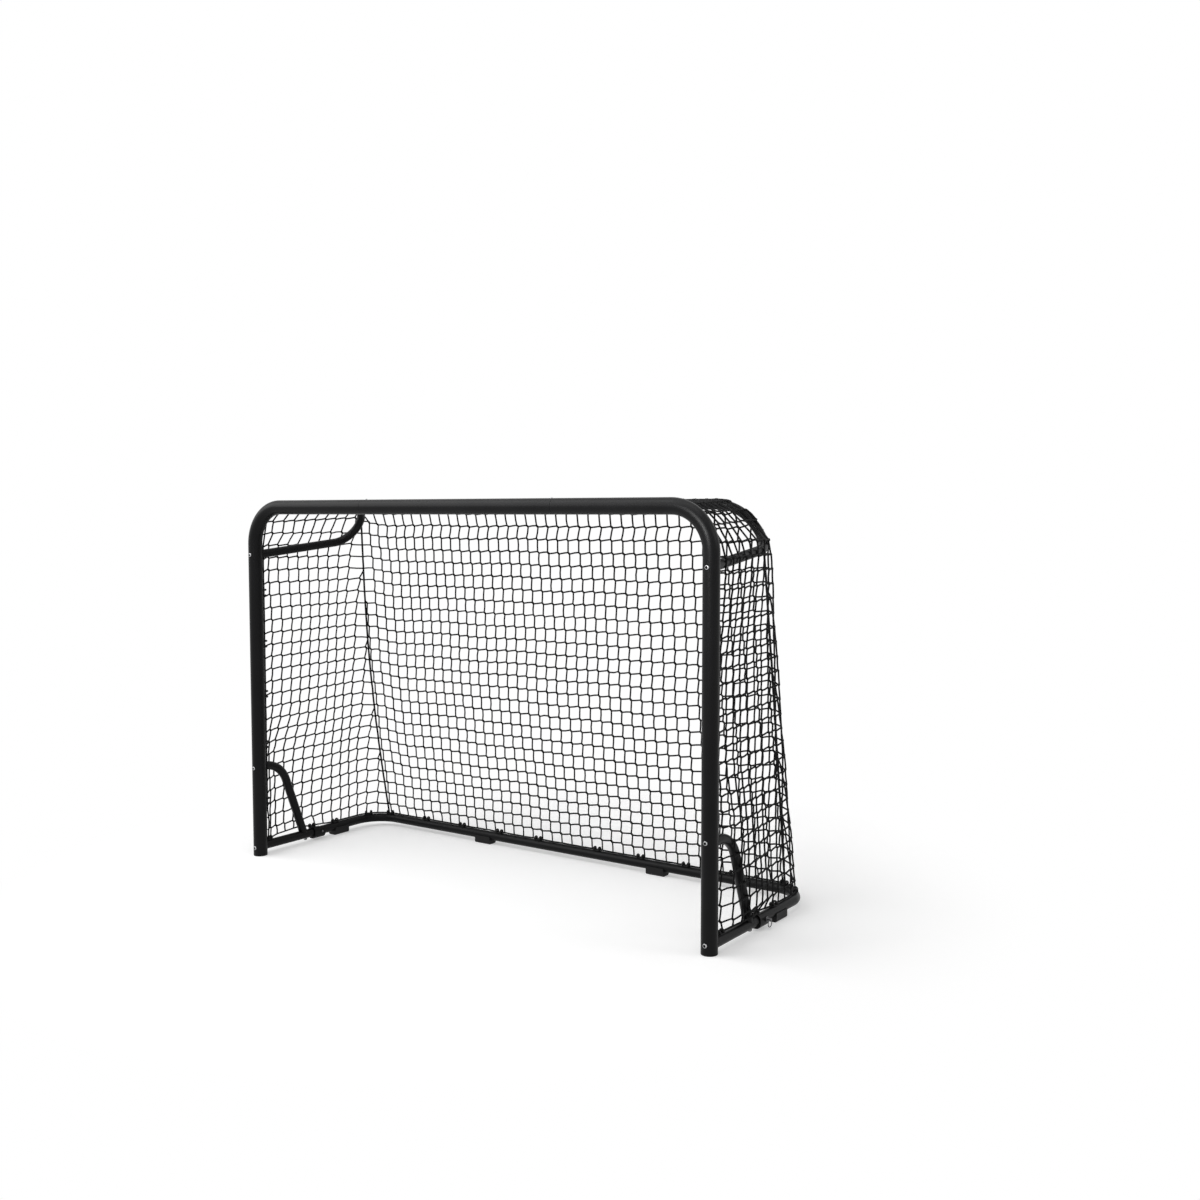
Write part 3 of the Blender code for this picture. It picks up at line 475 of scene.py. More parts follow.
def add_piece(name, shell, material, body, replaced=(), lay=None, sharp_deg=SHARP_DEG):
    """A piece from points and faces, that rides on a body if one is given."""
    piece = new_object(name, *shell)
    mesh = piece.data
    if lay is not None:
        attribute = mesh.attributes.new("lay", "FLOAT_VECTOR", "POINT")
        attribute.data.foreach_set("vector", np.asarray(lay, np.float32).ravel())
    mesh.materials.append(material)
    mesh.shade_smooth()
    mesh.set_sharp_from_angle(angle=math.radians(sharp_deg))
    if body:
        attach(piece, body)
    if replaced:
        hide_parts(*replaced)
    return piece


def rounded_path(corners, radii, step_deg=BEND_STEP_DEG):
    """The corners joined by straight runs, with each inner corner rounded to its radius."""
    path = [Vector(corners[0])]
    for index, radius in enumerate(radii, start=1):
        before, corner, after = (Vector(corners[index + shift]) for shift in (-1, 0, 1))
        back = (before - corner).normalized()
        ahead = (after - corner).normalized()
        opening = back.angle(ahead)
        centre = corner + (back + ahead).normalized() * radius / math.sin(opening / 2)
        start = corner + back * radius / math.tan(opening / 2) - centre
        end = corner + ahead * radius / math.tan(opening / 2) - centre
        turn = math.pi - opening
        across = (end - start * end.dot(start) / start.dot(start)).normalized() * radius
        steps = max(2, math.ceil(math.degrees(turn) / step_deg))
        for step in range(steps + 1):
            angle = turn * step / steps
            point = centre + start * math.cos(angle) + across * math.sin(angle)
            if (point - path[-1]).length > LIP:
                path.append(point)
    path.append(Vector(corners[-1]))
    return path


def frames_along(path, reference):
    """At each point of a path, its direction and two directions square to it, without twist."""
    frames = []
    normal = Vector(reference)
    for index, point in enumerate(path):
        before = path[max(index - 1, 0)]
        after = path[min(index + 1, len(path) - 1)]
        tangent = (after - before).normalized()
        normal = (normal - tangent * normal.dot(tangent)).normalized()
        frames.append((point, tangent, normal, tangent.cross(normal)))
    return frames


def ring(centre, normal, side, radius, count):
    angles = [math.tau * step / count for step in range(count)]
    return [centre + (normal * math.cos(angle) + side * math.sin(angle)) * radius for angle in angles]


def band(here, there, count):
    """The faces between two rings, given by their first points."""
    turns = [(step, (step + 1) % count) for step in range(count)]
    return [(here + step, here + after, there + after, there + step) for step, after in turns]


def skin(rings):
    """Points and faces of a closed surface over rings of as many points each, with flat ends."""
    count = len(rings[0])
    points = [point for one in rings for point in one]
    starts = range(0, len(points), count)
    faces = [tuple(range(count)), tuple(starts[-1] + step for step in range(count))]
    for here, there in zip(starts, starts[1:]):
        faces += band(here, there, count)
    return points, faces


def joined(shells):
    """Several lots of points and faces as one."""
    points, faces = [], []
    for more_points, more_faces in shells:
        start = len(points)
        points += more_points
        faces += [tuple(start + index for index in face) for face in more_faces]
    return points, faces


def around_post(side):
    """Slides the end of a tube onto a post's surface."""

    def shape(point, along):
        flat = Vector((along.x, along.y)).length
        offset = Vector((point.x - side * POST_X, point.y - POST_Y))
        direction = Vector((along.x, along.y)) / flat
        across = offset - direction * offset.dot(direction)
        reach = math.sqrt(max((POST_R + GAP) ** 2 - across.length_squared, 0.0))
        return point + along * (reach - offset.dot(direction)) / flat

    return shape


def around_stub(side):
    """Slides the end of a brace onto the side tube below it."""

    def shape(point, along):
        across = point.x - side * SIDE_X
        reach = math.sqrt(max((GROUND_R + GAP) ** 2 - across**2, 0.0))
        return point + along * (GROUND_Z + reach - point.z) / along.z

    return shape


def tube_end(frame_here, inward, radius, count, shape):
    """The rings at a tube's end, from deep in its bore to its outer side."""
    centre, _, normal, side = frame_here
    bore = radius - WALL
    rings = []
    rows = ((bore, BORE_DEPTH), (bore, LIP), (bore + LIP, 0.0), (radius - LIP, 0.0), (radius, LIP))
    for row_radius, depth in rows:
        points = ring(centre, normal, side, row_radius, count)
        if shape:
            points = [shape(point, inward) for point in points]
        rings.append([point + inward * depth for point in points])
    return rings


def make_tube(
    name, path, radius, body, node, count=TUBE_SIDES, shapes=(None, None), reference=(0.0, 1.0, 0.0)
):
    """A tube with open, slightly rounded ends. A shape fits an end onto what it meets."""
    frames = frames_along(path, reference)
    first = tube_end(frames[0], frames[0][1], radius, count, shapes[0])
    last = tube_end(frames[-1], -frames[-1][1], radius, count, shapes[1])
    middle = [ring(point, normal, side, radius, count) for point, _, normal, side in frames[1:-1]]
    return add_piece(name, skin(first + middle + last[::-1]), STEEL, body, (node,))


def turned(rows, origin, axis, count=SMALL_SIDES):
    """A shell round an axis. A row is a radius, or a function of the angle, and a place along the axis."""
    axis = Vector(axis).normalized()
    normal = axis.orthogonal().normalized()
    side = axis.cross(normal)
    rings = []
    for radius, along in rows:
        points = []
        for step in range(count):
            angle = math.tau * step / count
            reach = radius(angle) if callable(radius) else radius
            out = normal * math.cos(angle) + side * math.sin(angle)
            points.append(Vector(origin) + axis * along + out * reach)
        rings.append(points)
    return skin(rings)


def drill(piece, start, end, radius):
    """Cuts a round hole through a piece."""
    run = Vector(end) - Vector(start)
    tool = new_object("drill", *turned([(radius, 0.0), (radius, run.length)], start, run))
    modifier = piece.modifiers.new("hole", "BOOLEAN")
    modifier.operation = "DIFFERENCE"
    modifier.solver = "EXACT"
    modifier.object = tool
    bpy.context.view_layer.update()
    evaluated = piece.evaluated_get(bpy.context.evaluated_depsgraph_get())
    cut_mesh = bpy.data.meshes.new_from_object(evaluated)
    piece.modifiers.remove(modifier)
    piece.data = cut_mesh
    bpy.data.objects.remove(tool)


# Paths.


def front_path(side):
    foot = (side * POST_X, POST_Y, CAP_FLANGE + GAP)
    corner = (side * POST_X, POST_Y, CROSSBAR_Z)
    seam = (side * (SEAM_X + GAP), POST_Y, CROSSBAR_Z)
    return rounded_path((foot, corner, seam), (FRONT_BEND_R,))


def bow_path(side, end_x, step_deg=BEND_STEP_DEG):
    joint = (side * POST_X, POST_Y, BOW_JOINT_Z)
    dip = (side * (POST_X - BOW_DIP[0]), POST_Y + BOW_DIP[1], BOW_DIP[2])
    turn = (side * (POST_X - BOW_TURN[0]), POST_Y + BOW_TURN[1], BOW_TURN[2])
    end = (side * end_x, turn[1], turn[2])
    return rounded_path((joint, dip, turn, end), (BOW_DIP_BEND_R, BOW_TURN_BEND_R), step_deg)


def ground_path(side, start_y, end_x, step_deg=BEND_STEP_DEG):
    start = (side * SIDE_X, start_y, GROUND_Z)
    corner = (side * SIDE_X, REAR_Y, GROUND_Z)
    end = (side * end_x, REAR_Y, GROUND_Z)
    return rounded_path((start, corner, end), (GROUND_BEND_R,), step_deg)


def brace_path(side, step_deg=BEND_STEP_DEG):
    top = (side * SIDE_X, POST_Y, BRACE_Z)
    knee = (side * SIDE_X, POST_Y + BRACE_KNEE_SETBACK, BRACE_Z)
    foot = (side * SIDE_X, POST_Y + BRACE_FOOT_SETBACK, GROUND_Z)
    return rounded_path((top, knee, foot), (BRACE_BEND_R,), step_deg)


# Hard pieces.


def make_post_foot(label, side):
    inner = POST_R - WALL - GAP
    rows = (
        (POST_R / 4, 0.0),
        (POST_R - 3 * LIP, 0.0),
        (POST_R - LIP, LIP),
        (POST_R, 3 * LIP),
        (POST_R, CAP_FLANGE - LIP),
        (POST_R - LIP, CAP_FLANGE),
        (inner, CAP_FLANGE),
        (inner, 5 * CAP_FLANGE),
    )
    shell = turned(rows, (side * POST_X, POST_Y, 0.0), (0.0, 0.0, 1.0), POST_SIDES)
    add_piece(f"{label}_post_foot", shell, PLASTIC, "frame", (f"{label}_post_cap",))


def make_seam_screw(label, side):
    seat = (side * SCREW_X, POST_Y, CROSSBAR_Z + POST_R + GAP)
    rows = [(share * SCREW_HEAD_R, along) for share, along in SCREW_ROWS]
    shell = turned(rows, seat, (0.0, 0.0, -1.0))
    add_piece(f"{label}_seam_screw", shell, ZINC, "frame", (f"{label}_crossbar_screw",))


def make_front_frame():
    for label, side in SIDES:
        make_tube(f"{label}_post", front_path(side), POST_R, "frame", f"{label}_post_tube", POST_SIDES)
        make_post_foot(label, side)
        make_seam_screw(label, side)
    ends = [Vector((x, POST_Y, CROSSBAR_Z)) for x in (-SEAM_X, -SCREW_X, 0.0, SCREW_X, SEAM_X)]
    make_tube("crossbar", ends, POST_R, "frame", "crossbar_tube", POST_SIDES)


def make_bow():
    for label, side in SIDES:
        path = bow_path(side, SEAM_X + GAP)
        shapes = (around_post(side), None)
        node = f"{label}_bow_corner"
        make_tube(f"{label}_bow_arm", path, BOW_R, "frame", node, shapes=shapes, reference=(0.0, 0.0, 1.0))
    y, z = POST_Y + BOW_TURN[1], BOW_TURN[2]
    ends = [Vector((x, y, z)) for x in (-SEAM_X, 0.0, SEAM_X)]
    make_tube("bow_bar", ends, BOW_R, "frame", "bow_bar_tube")


def make_side_frames():
    across = (1.0, 0.0, 0.0)
    for label, side in SIDES:
        path = brace_path(side)
        shapes = (around_post(side), around_stub(side))
        node = f"{label}_brace"
        make_tube(f"{label}_bent_brace", path, BRACE_R, "frame", node, shapes=shapes, reference=across)
        middle = (POST_Y + STUB_END_Y) / 2
        path = [Vector((side * SIDE_X, y, GROUND_Z)) for y in (POST_Y, middle, STUB_END_Y)]
        shapes = (around_post(side), None)
        node = f"{label}_stub_tube"
        make_tube(f"{label}_stub", path, GROUND_R, "frame", node, shapes=shapes, reference=across)


def make_ground_frame():
    for label, side in SIDES:
        path = ground_path(side, PIVOT_Y - TUBE_END_AHEAD, SEAM_X + GAP)
        node = f"{label}_ground_corner"
        name = f"{label}_ground_bend"
        piece = make_tube(name, path, GROUND_R, "rear_fold", node, reference=(0.0, 0.0, 1.0))
        low = (side * (SIDE_X - 2 * GROUND_R), PIVOT_Y, GROUND_Z)
        high = (side * (SIDE_X + 2 * GROUND_R), PIVOT_Y, GROUND_Z)
        drill(piece, low, high, PIN_HOLE_R)
    ends = [Vector((x, REAR_Y, GROUND_Z)) for x in (-SEAM_X, 0.0, SEAM_X)]
    make_tube("ground_rear_bar", ends, GROUND_R, "rear_fold", "ground_bar_tube")


def six_sided(radius):
    """A hexagon of this corner radius, as a function of the angle."""
    return lambda angle: radius * math.cos(math.pi / 6) / math.cos(angle % (math.pi / 3) - math.pi / 6)


def make_bolt(node, seat, axis, shank):
    """A bolt with a domed head, and a hexagon socket painted black inside: painted shade in the recess.
    Distance 0 is under the head.
    """
    socket = six_sided(BOLT_SOCKET_R)
    floor = BOLT_SOCKET_DEPTH - BOLT_HEAD_H
    rows = [(BOLT_SOCKET_R / 4, floor + LIP), (socket, floor), (socket, LIP - BOLT_HEAD_H)]
    rows.append((six_sided(BOLT_SOCKET_R + LIP), -BOLT_HEAD_H))
    for degrees in range(0, 91, 15):
        angle = math.radians(degrees)
        share = BOLT_CROWN + (1.0 - BOLT_CROWN) * math.sin(angle)
        rows.append((BOLT_HEAD_R * share, -BOLT_HEAD_H * math.cos(angle)))
    rows += [(BOLT_SHANK_R, 0.0), (BOLT_SHANK_R, shank)]
    bolt = add_piece(f"{node}_detailed", turned(rows, seat, axis), ZINC, "frame", (node,))
    bolt.data.materials.append(STEEL)
    # Faces inside the socket take the black powder coat: painted shade in the recess.
    for face in bolt.data.polygons:
        offset = face.center - Vector(seat)
        depth = offset.dot(axis)
        if depth < 0.0 and (offset - axis * depth).length < BOLT_SOCKET_R:
            face.material_index = 1


def make_bolts():
    back = Vector((0.0, 1.0, 0.0))
    leg = Vector((0.0, BRACE_KNEE_SETBACK - BRACE_FOOT_SETBACK, BRACE_Z - GROUND_Z)).normalized()
    for label, side in SIDES:
        for place, height, shank in POST_BOLTS:
            make_bolt(f"{label}_{place}_bolt", (side * POST_X, POST_Y - POST_R - GAP, height), back, shank)
        crossing = Vector((side * SIDE_X, POST_Y + BRACE_FOOT_SETBACK, GROUND_Z))
        seat = crossing - leg * (GROUND_R + GAP + BOLT_HEAD_R * abs(leg.y)) / leg.z
        make_bolt(f"{label}_foot_bolt", seat, leg, FOOT_BOLT_SHANK)


def make_ring_pins():
    eye_end = -PIN_HEAD_H - PIN_EYE_LENGTH
    rows = (
        (PIN_EYE_R / 4, eye_end),
        (PIN_EYE_R - 2 * LIP, eye_end),
        (PIN_EYE_R, eye_end + 2 * LIP),
        (PIN_EYE_R, -PIN_HEAD_H - LIP),
        (PIN_HEAD_R - 2 * LIP, -PIN_HEAD_H),
        (PIN_HEAD_R, -PIN_HEAD_H + 2 * LIP),
        (PIN_HEAD_R, -LIP),
        (PIN_HEAD_R - LIP, 0.0),
        (PIN_R, 0.0),
        (PIN_R, PIN_SHANK - PIN_R / 2),
        (PIN_R * 0.75, PIN_SHANK - PIN_R / 5),
        (PIN_R / 2, PIN_SHANK),
    )
    for label, side in SIDES:
        shell = turned(rows, (side * (PIN_SEAT_X + GAP), PIVOT_Y, GROUND_Z), (-side, 0.0, 0.0))
        # The pin and its ring wear the darker copy of the zinc: painted shade.
        pin = add_piece(f"{label}_pull_pin", shell, SHADED_ZINC, f"{label}_pin", (f"{label}_ring_pin",))
        eye = Vector((side * RING_X, PIVOT_Y, GROUND_Z))
        reach = Vector((0.0, 2 * PIN_EYE_R, 0.0))
        drill(pin, eye - reach, eye + reach, PIN_EYE_HOLE_R)
        shell = loop_of_wire(eye - Vector((0.0, 0.0, RING_R)))
        add_piece(f"{label}_split_ring", shell, SHADED_ZINC, f"{label}_ring", (f"{label}_pull_ring",))


def loop_of_wire(centre):
    """A closed wire ring in the YZ plane."""
    count, around = 2 * SMALL_SIDES, SMALL_SIDES // 2
    points, faces = [], []
    for step in range(count):
        angle = math.tau * step / count
        out = Vector((0.0, math.sin(angle), math.cos(angle)))
        points += ring(centre + out * RING_R, out, Vector((1.0, 0.0, 0.0)), RING_WIRE_R, around)
        faces += band(step * around, ((step + 1) % count) * around, around)
    return points, faces


def dress_kept_nodes():
    """Finishes for the solids that stay, with a small bevel on the moulded and welded ones."""
    finishes = {"pad": PLASTIC, "sleeve": STEEL, "collar": STEEL, "insert": ZINC}
    bevels = {"pad": 0.0016, "collar": 0.0009}
    for node in bpy.data.objects:
        kind = node.name.split("_")[-1]
        if kind in finishes:
            node.data.materials[0] = finishes[kind]
        if kind in bevels:
            bevel = node.modifiers.new("soft_edges", "BEVEL")
            bevel.width = bevels[kind]
            bevel.segments = 3
            bevel.limit_method = "ANGLE"
            bevel.angle_limit = math.radians(40.0)
            bevel.harden_normals = True


# The net's shape.


def smoothstep(value):
    value = min(max(value, 0.0), 1.0)
    return value * value * (3.0 - 2.0 * value)


def mix(low, high, share):
    return low + (high - low) * share


def rise(value, start, span):
    """0 up to the start and 1 from a span beyond it. With a span below 0 it falls as the value grows."""
    return smoothstep((value - start) / span)


def corner_cord(z):
    """The corner cord's place at a height, on the right side."""
    share = (CORD_TOP[2] - z) / (CORD_TOP[2] - CORD_FOOT[2])
    swing = math.sin(math.pi * min(max(share, 0.0), 1.0))
    x = mix(CORD_TOP[0], CORD_FOOT[0], share) + CORD_BOW_OUT * swing
    y = mix(CORD_TOP[1], CORD_FOOT[1], share) + CORD_BOW_BACK * swing
    return x, y


def back_plane_y(z):
    bulge = BACK_BULGE * rise(z, *BULGE_TOP) * rise(z, *BULGE_LOW)
    return mix(NET_LOW_Y, NET_TOP_Y, (z - NET_LOW_Z) / (NET_TOP_Z - NET_LOW_Z)) + bulge


def back_point(x, z):
    """The back of the net: a slope that turns to the corner cords at its sides."""
    cord_x, cord_y = corner_cord(min(z, CORD_TOP[2]))
    pull = min(abs(x) / cord_x, 1.0) ** CORNER_PULL
    y = mix(back_plane_y(z), cord_y, pull * min(1.0, (NET_TOP_Z - z) / CORNER_PULL_FADE))
    return Vector((x, y, z))


def bow_rear(side):
    """The bow's axis from its rearmost point on."""
    line = bow_path(side, 0.30, 3.0)
    return line[max(range(len(line)), key=lambda step: line[step].y) :]


BRACE_LINE = [Vector((0.0, point.y, point.z)) for point in brace_path(1.0, 12.0)]
BOW_REAR = {side: bow_rear(side) for _, side in SIDES}


def nearest_on(line, point):
    """The nearest point of a line of points."""
    found = []
    for before, after in zip(line, line[1:]):
        run = after - before
        share = min(max((point - before).dot(run) / max(run.length_squared, TINY), 0.0), 1.0)
        found.append(before.lerp(after, share))
    return min(found, key=lambda place: (place - point).length)


def pushed_out(x, y, z):
    """How far out a side net lies, once it has passed outside the brace and the arm of the bow."""
    place = Vector((0.0, y, z))
    away = (place - nearest_on(BRACE_LINE, place)).length
    x = max(x, mix(SIDE_X + BRACE_R + OVER_TUBE, x, rise(away, *OVER_BRACE)))
    share = (y - POST_Y) / BOW_DIP[1]
    if 0.0 < share < ARM_END:
        arm_x = POST_X - BOW_DIP[0] * share + BOW_R + OVER_TUBE
        arm_z = mix(BOW_JOINT_Z, BOW_DIP[2], share)
        span = ARM_SPAN_ABOVE if z > arm_z else ARM_SPAN_BELOW
        x = max(x, mix(arm_x, x, rise(abs(z - arm_z), OVER_ARM, span)))
    return x


def side_outline(z):
    """A level line of a side net, from behind the post to the corner cord, as points on the right side."""
    share = min(max((z - NET_LOW_Z) / (CORD_TOP[2] - NET_LOW_Z), 0.0), 1.0)
    side_x = mix(SIDE_X, SIDE_TOP_X, share)
    cord_x, cord_y = corner_cord(min(z, CORD_TOP[2]))
    turn_y = cord_y - mix(*SIDE_TURN, share)
    knee_y = cord_y - mix(*SIDE_KNEE, share)
    points = []
    for step in range(SIDE_STEPS):
        part = step / SIDE_STEPS
        y = mix(NET_FRONT_Y, turn_y, part)
        x = mix(NET_FRONT_X, side_x, smoothstep(part * FRONT_TURN))
        x = mix(x, pushed_out(x, y, z), min(part * FRONT_PUSH, 1.0))
        points.append(Vector((x, y, z)))
    for step in range(SIDE_TURN_STEPS + 1):
        part = step / SIDE_TURN_STEPS
        a, b, c = (1 - part) ** 2, 2 * part * (1 - part), part**2
        points.append(Vector(((a + b) * side_x + c * cord_x, a * turn_y + b * knee_y + c * cord_y, z)))
    return points


def length_of(points):
    return sum((after - before).length for before, after in zip(points, points[1:]))


def point_along(points, distance):
    """The point at this distance along a line of points."""
    for before, after in zip(points, points[1:]):
        run = (after - before).length
        if distance <= run:
            return before.lerp(after, distance / run)
        distance -= run
    return points[-1].copy()


def waver(point, seed):
    """A slow, small wander, the same wherever it is asked for the same place."""
    a = math.sin(11.0 * point.x + 7.0 * point.z + seed)
    a += math.sin(23.0 * point.z - 9.0 * point.y + 2.0 * seed)
    b = math.sin(13.0 * point.x - 17.0 * point.z + 3.0 * seed)
    b += math.sin(8.0 * point.y + 19.0 * point.x + seed)
    return a / 2, b / 2


def wandered(point, seed, sizes):
    """The point after its wander, with its size along each axis."""
    a, b = waver(point, seed)
    return point + Vector((a * sizes[0], a * sizes[1], b * sizes[2]))


def row_height(row):
    return FIRST_ROW_Z + ROW_PITCH * row


def column_x(index):
    return PITCH * (index + 0.5)


def mirrored(point, side):
    return Vector((point.x * side, point.y, point.z))


class Strands:
    """Strands and knots of one piece of net, gathered into a single mesh."""

    def __init__(self):
        self.shells = []
        self.lay = []

    def add_rings(self, rings, distances):
        """A closed skin over rings, each at its distance along the strand."""
        self.shells.append(skin(rings))
        count = len(rings[0])
        self.lay += [(along, step / count, 0.0) for along in distances for step in range(count)]

    def add_strand(self, line, radius=STRAND_R, count=STRAND_SIDES, stray=STRAND_STRAY):
        """A strand through the points of a line, a little bent between them."""
        path = [Vector(line[0])]
        for before, after in zip(line, line[1:]):
            run = (after - before).length
            if run < SHORT_RUN:
                continue
            if run > LONG_RUN:
                path.append(before.lerp(after, 0.5) + Vector(rng.normal(0.0, stray, 3)))
            path.append(Vector(after))
        if len(path) < 2:
            return
        distances = [0.0]
        for before, after in zip(path, path[1:]):
            distances.append(distances[-1] + (after - before).length)
        frames = frames_along(path, STRAND_REFERENCE)
        self.add_rings([ring(point, *square, radius, count) for point, _, *square in frames], distances)

    def add_knot(self, centre, jog):
        """A knot: a lumpy bead, drawn out along its jog."""
        along = jog.normalized()
        wide = along.orthogonal().normalized()
        deep = along.cross(wide)
        spin = rng.uniform(0.0, math.tau)
        angles = [math.tau * step / KNOT_SIDES for step in range(KNOT_SIDES)]
        rings = []
        for level, width in KNOT_ROWS:
            points = []
            for angle in angles:
                swell = width * (1.0 + KNOT_LUMPS * math.cos(2 * angle + spin))
                offset = (wide * math.cos(angle) + deep * math.sin(angle)) * swell + along * level
                points.append(centre + offset * KNOT_R)
            rings.append(points)
        self.add_rings(rings, [level * KNOT_R for level, _ in KNOT_ROWS])

    def finish(self, name, body, replaced=(), material=NET_CORD):
        return add_piece(name, joined(self.shells), material, body, replaced, self.lay, CORD_SHARP_DEG)


def neighbour(grid, row, column, down, right):
    """The direction to the next knot of the grid that way, or from the one before."""
    for sign in (1, -1):
        r, c = row + sign * down, column + sign * right
        if 0 <= r < len(grid) and 0 <= c < len(grid[r]) and grid[r][c] is not None:
            return (grid[r][c] - grid[row][column]) * sign
    return None


def tie_knots(grid, strands):
    """Ties the knots of a grid of points, where a missing point is None. Gives the jog of each knot."""
    jogs = {}
    for row, points in enumerate(grid):
        for column, point in enumerate(points):
            if point is None:
                continue
            across = neighbour(grid, row, column, 0, 1)
            upward = neighbour(grid, row, column, 1, 0)
            if across is not None and upward is not None:
                jog = (across.normalized() - upward.normalized()) * KNOT_JOG
                jogs[point.freeze()] = jog
                strands.add_knot(point, jog)
    return jogs


def jogged(line, jogs, hand):
    """A line that goes into each knot at one end of its jog and leaves at the other."""
    stepped = []
    for point in line:
        jog = jogs.get(point.freeze())
        stepped += [point] if jog is None else [point - jog * hand, point + jog * hand]
    return stepped


def present(knots):
    return [point for point in knots if point is not None]


# Side nets.


def net_foot(side):
    """The edge cord from a post to the corner cord: over the stub, outside the brace, then on the tube."""
    x, y, z = SIDE_X, NET_FRONT_Y, FOOT_CORD_Z
    past_brace = SIDE_X + BRACE_R + OVER_TUBE
    line = [
        Vector((x - 0.010, y + 0.006, z + 0.002)),
        Vector((x - 0.003, y + 0.016, z)),
        Vector((x + 0.008, y + 0.060, z + 0.006)),
        Vector((past_brace - 0.001, -0.110, z + 0.008)),
        Vector((past_brace, -0.078, z + 0.008)),
        Vector((x + 0.010, -0.060, z + 0.007)),
        Vector((x + 0.001, -0.048, z + 0.0056)),
        Vector((x, -0.029, z + 0.0056)),
        Vector((x, -0.010, z + 0.0048)),
        Vector((x, 0.012, z + 0.0032)),
    ]
    tube = [Vector((point.x, point.y, z)) for point in ground_path(1.0, TUBE_CORD_Y, 0.0, CORD_STEP_DEG)]
    line += [point for point in tube if point.x > CORD_FOOT[0]]
    line.append(Vector((CORD_FOOT[0], CORD_FOOT[1], z)))
    return [mirrored(point, side) for point in line]


def side_knot(outline, row_z, column, side):
    """A knot of a side net, or None where the corner cord has cut the column off."""
    reach = length_of(outline)
    distance = FIRST_COLUMN + PITCH * column + SIDE_LEAN * max(row_z - SIDE_LEAN_START_Z, 0.0)
    distance += CORNER_LEAN * max(row_z - CORNER_LEAN_START_Z, 0.0) * (distance / reach) ** 3
    if distance > reach - CORNER_GAP_ALONG:
        return None
    point = point_along(outline, distance)
    low = rise(row_z, *LOW_SLACK_Z) * rise(point.y, *LOW_SLACK_Y)
    sizes = (0.0, SIDE_WANDER[0] + LOW_WANDER[0] * low, SIDE_WANDER[1] + LOW_WANDER[1] * low)
    point = wandered(point, SIDE_SEED + side, sizes)
    point.z += SIDE_LIFT[side]
    return mirrored(point, side)


def side_grid(side):
    """Knots of a side net, row by row up to the one over the bow's dip, and the rows' ends."""
    grid, ends = [], []
    for row in range(SIDE_ROWS + 2):
        z = row_height(row)
        outline = side_outline(z)
        grid.append([side_knot(outline, z, column, side) for column in range(SIDE_COLUMNS)])
        ends.append((mirrored(outline[0], side), mirrored(outline[-1], side)))
    return grid, ends


def make_side_net(label, side, grid, ends):
    strands = Strands()
    foot = net_foot(side)
    jogs = tie_knots(grid, strands)
    for knots, (first, last) in zip(grid, ends):
        strands.add_strand(jogged([first, *present(knots), last], jogs, 1.0))
    for column in zip(*grid):
        knots = present(column)
        if not knots:
            continue
        line = [nearest_on(foot, knots[0]), *knots]
        z = knots[-1].z + ROW_PITCH * COLUMN_END
        if len(knots) < len(grid) and z < CORD_TOP[2]:
            cord_x, cord_y = corner_cord(z)
            line.append(Vector((side * cord_x, cord_y, z)))
        strands.add_strand(jogged(line, jogs, -1.0))
    return strands.finish(f"{label}_side_netting", None, (f"{label}_side_net",))


# Back net.


def bow_at_height(side, z):
    """The bow's axis where it climbs through this height."""
    line = BOW_REAR[side]
    for before, after in zip(line, line[1:]):
        if before.z <= z <= after.z:
            return before.lerp(after, (z - before.z) / max(after.z - before.z, TINY))
    return line[1].copy()


def bow_at_x(side, x):
    """The bow's axis beyond its dip, at this distance from the middle."""
    line = BOW_REAR[side]
    if x > abs(line[0].x):
        return line[0].copy()
    for before, after in zip(line, line[1:]):
        near, far = abs(after.x), abs(before.x)
        if near <= x <= far:
            return before.lerp(after, (far - x) / max(far - near, TINY))
    return Vector((side * x, line[-1].y, line[-1].z))


def leaned(x, z):
    """Where a back column lies across the goal at this height. Near the bow they lean to the right."""
    return x + TOP_LEAN * rise(z, *TOP_LEAN_Z) * rise(abs(x), *TOP_LEAN_X)


def over_bar(x):
    """Points that take a back column from the last row over the bow to the first line of the roof."""
    axis = bow_at_x(math.copysign(1.0, x), abs(x))
    x = leaned(x, NET_TOP_Z)
    reach = BOW_R + OVER_TUBE - WRAP_TIGHT
    turns = [math.radians(degrees) for degrees in OVER_BAR_DEG]
    return [Vector((x, axis.y + reach * math.cos(turn), axis.z + reach * math.sin(turn))) for turn in turns]


def back_knot(x, row):
    """A knot of the back net, or None where a corner cord or the bow lies before its place."""
    side = math.copysign(1.0, x)
    z = row_height(row)
    if z <= CORD_TOP[2] and abs(x) >= corner_cord(z)[0] - CORNER_GAP:
        return None
    if abs(x) >= column_x(BACK_COLUMNS - 2) and z >= bow_at_x(side, abs(x)).z - CORNER_GAP:
        return None
    z -= BACK_DROP * min(row / BACK_DROP_ROWS, 1.0) * rise(abs(x), *BACK_DROP_X)
    point = back_point(x, z)
    point.x = leaned(x, z)
    if abs(x) > BEND_START_X and z > BEND_START_Z:
        point.y = max(point.y, bow_at_height(side, z).y + BOW_R + OVER_TUBE)
    a, b = waver(point, BACK_SEED)
    return point + Vector((BACK_WANDER_X * a, BACK_WANDER * b, BACK_WANDER * b))


def back_row_end(side, z):
    """Where a row of the back net ends: on the corner cord, or on the bow above it."""
    if z <= CORD_TOP[2]:
        x, y = corner_cord(z)
        return Vector((side * x, y, z))
    return bow_at_height(side, z) + Vector((side * ROW_END[0], ROW_END[1], 0.0))


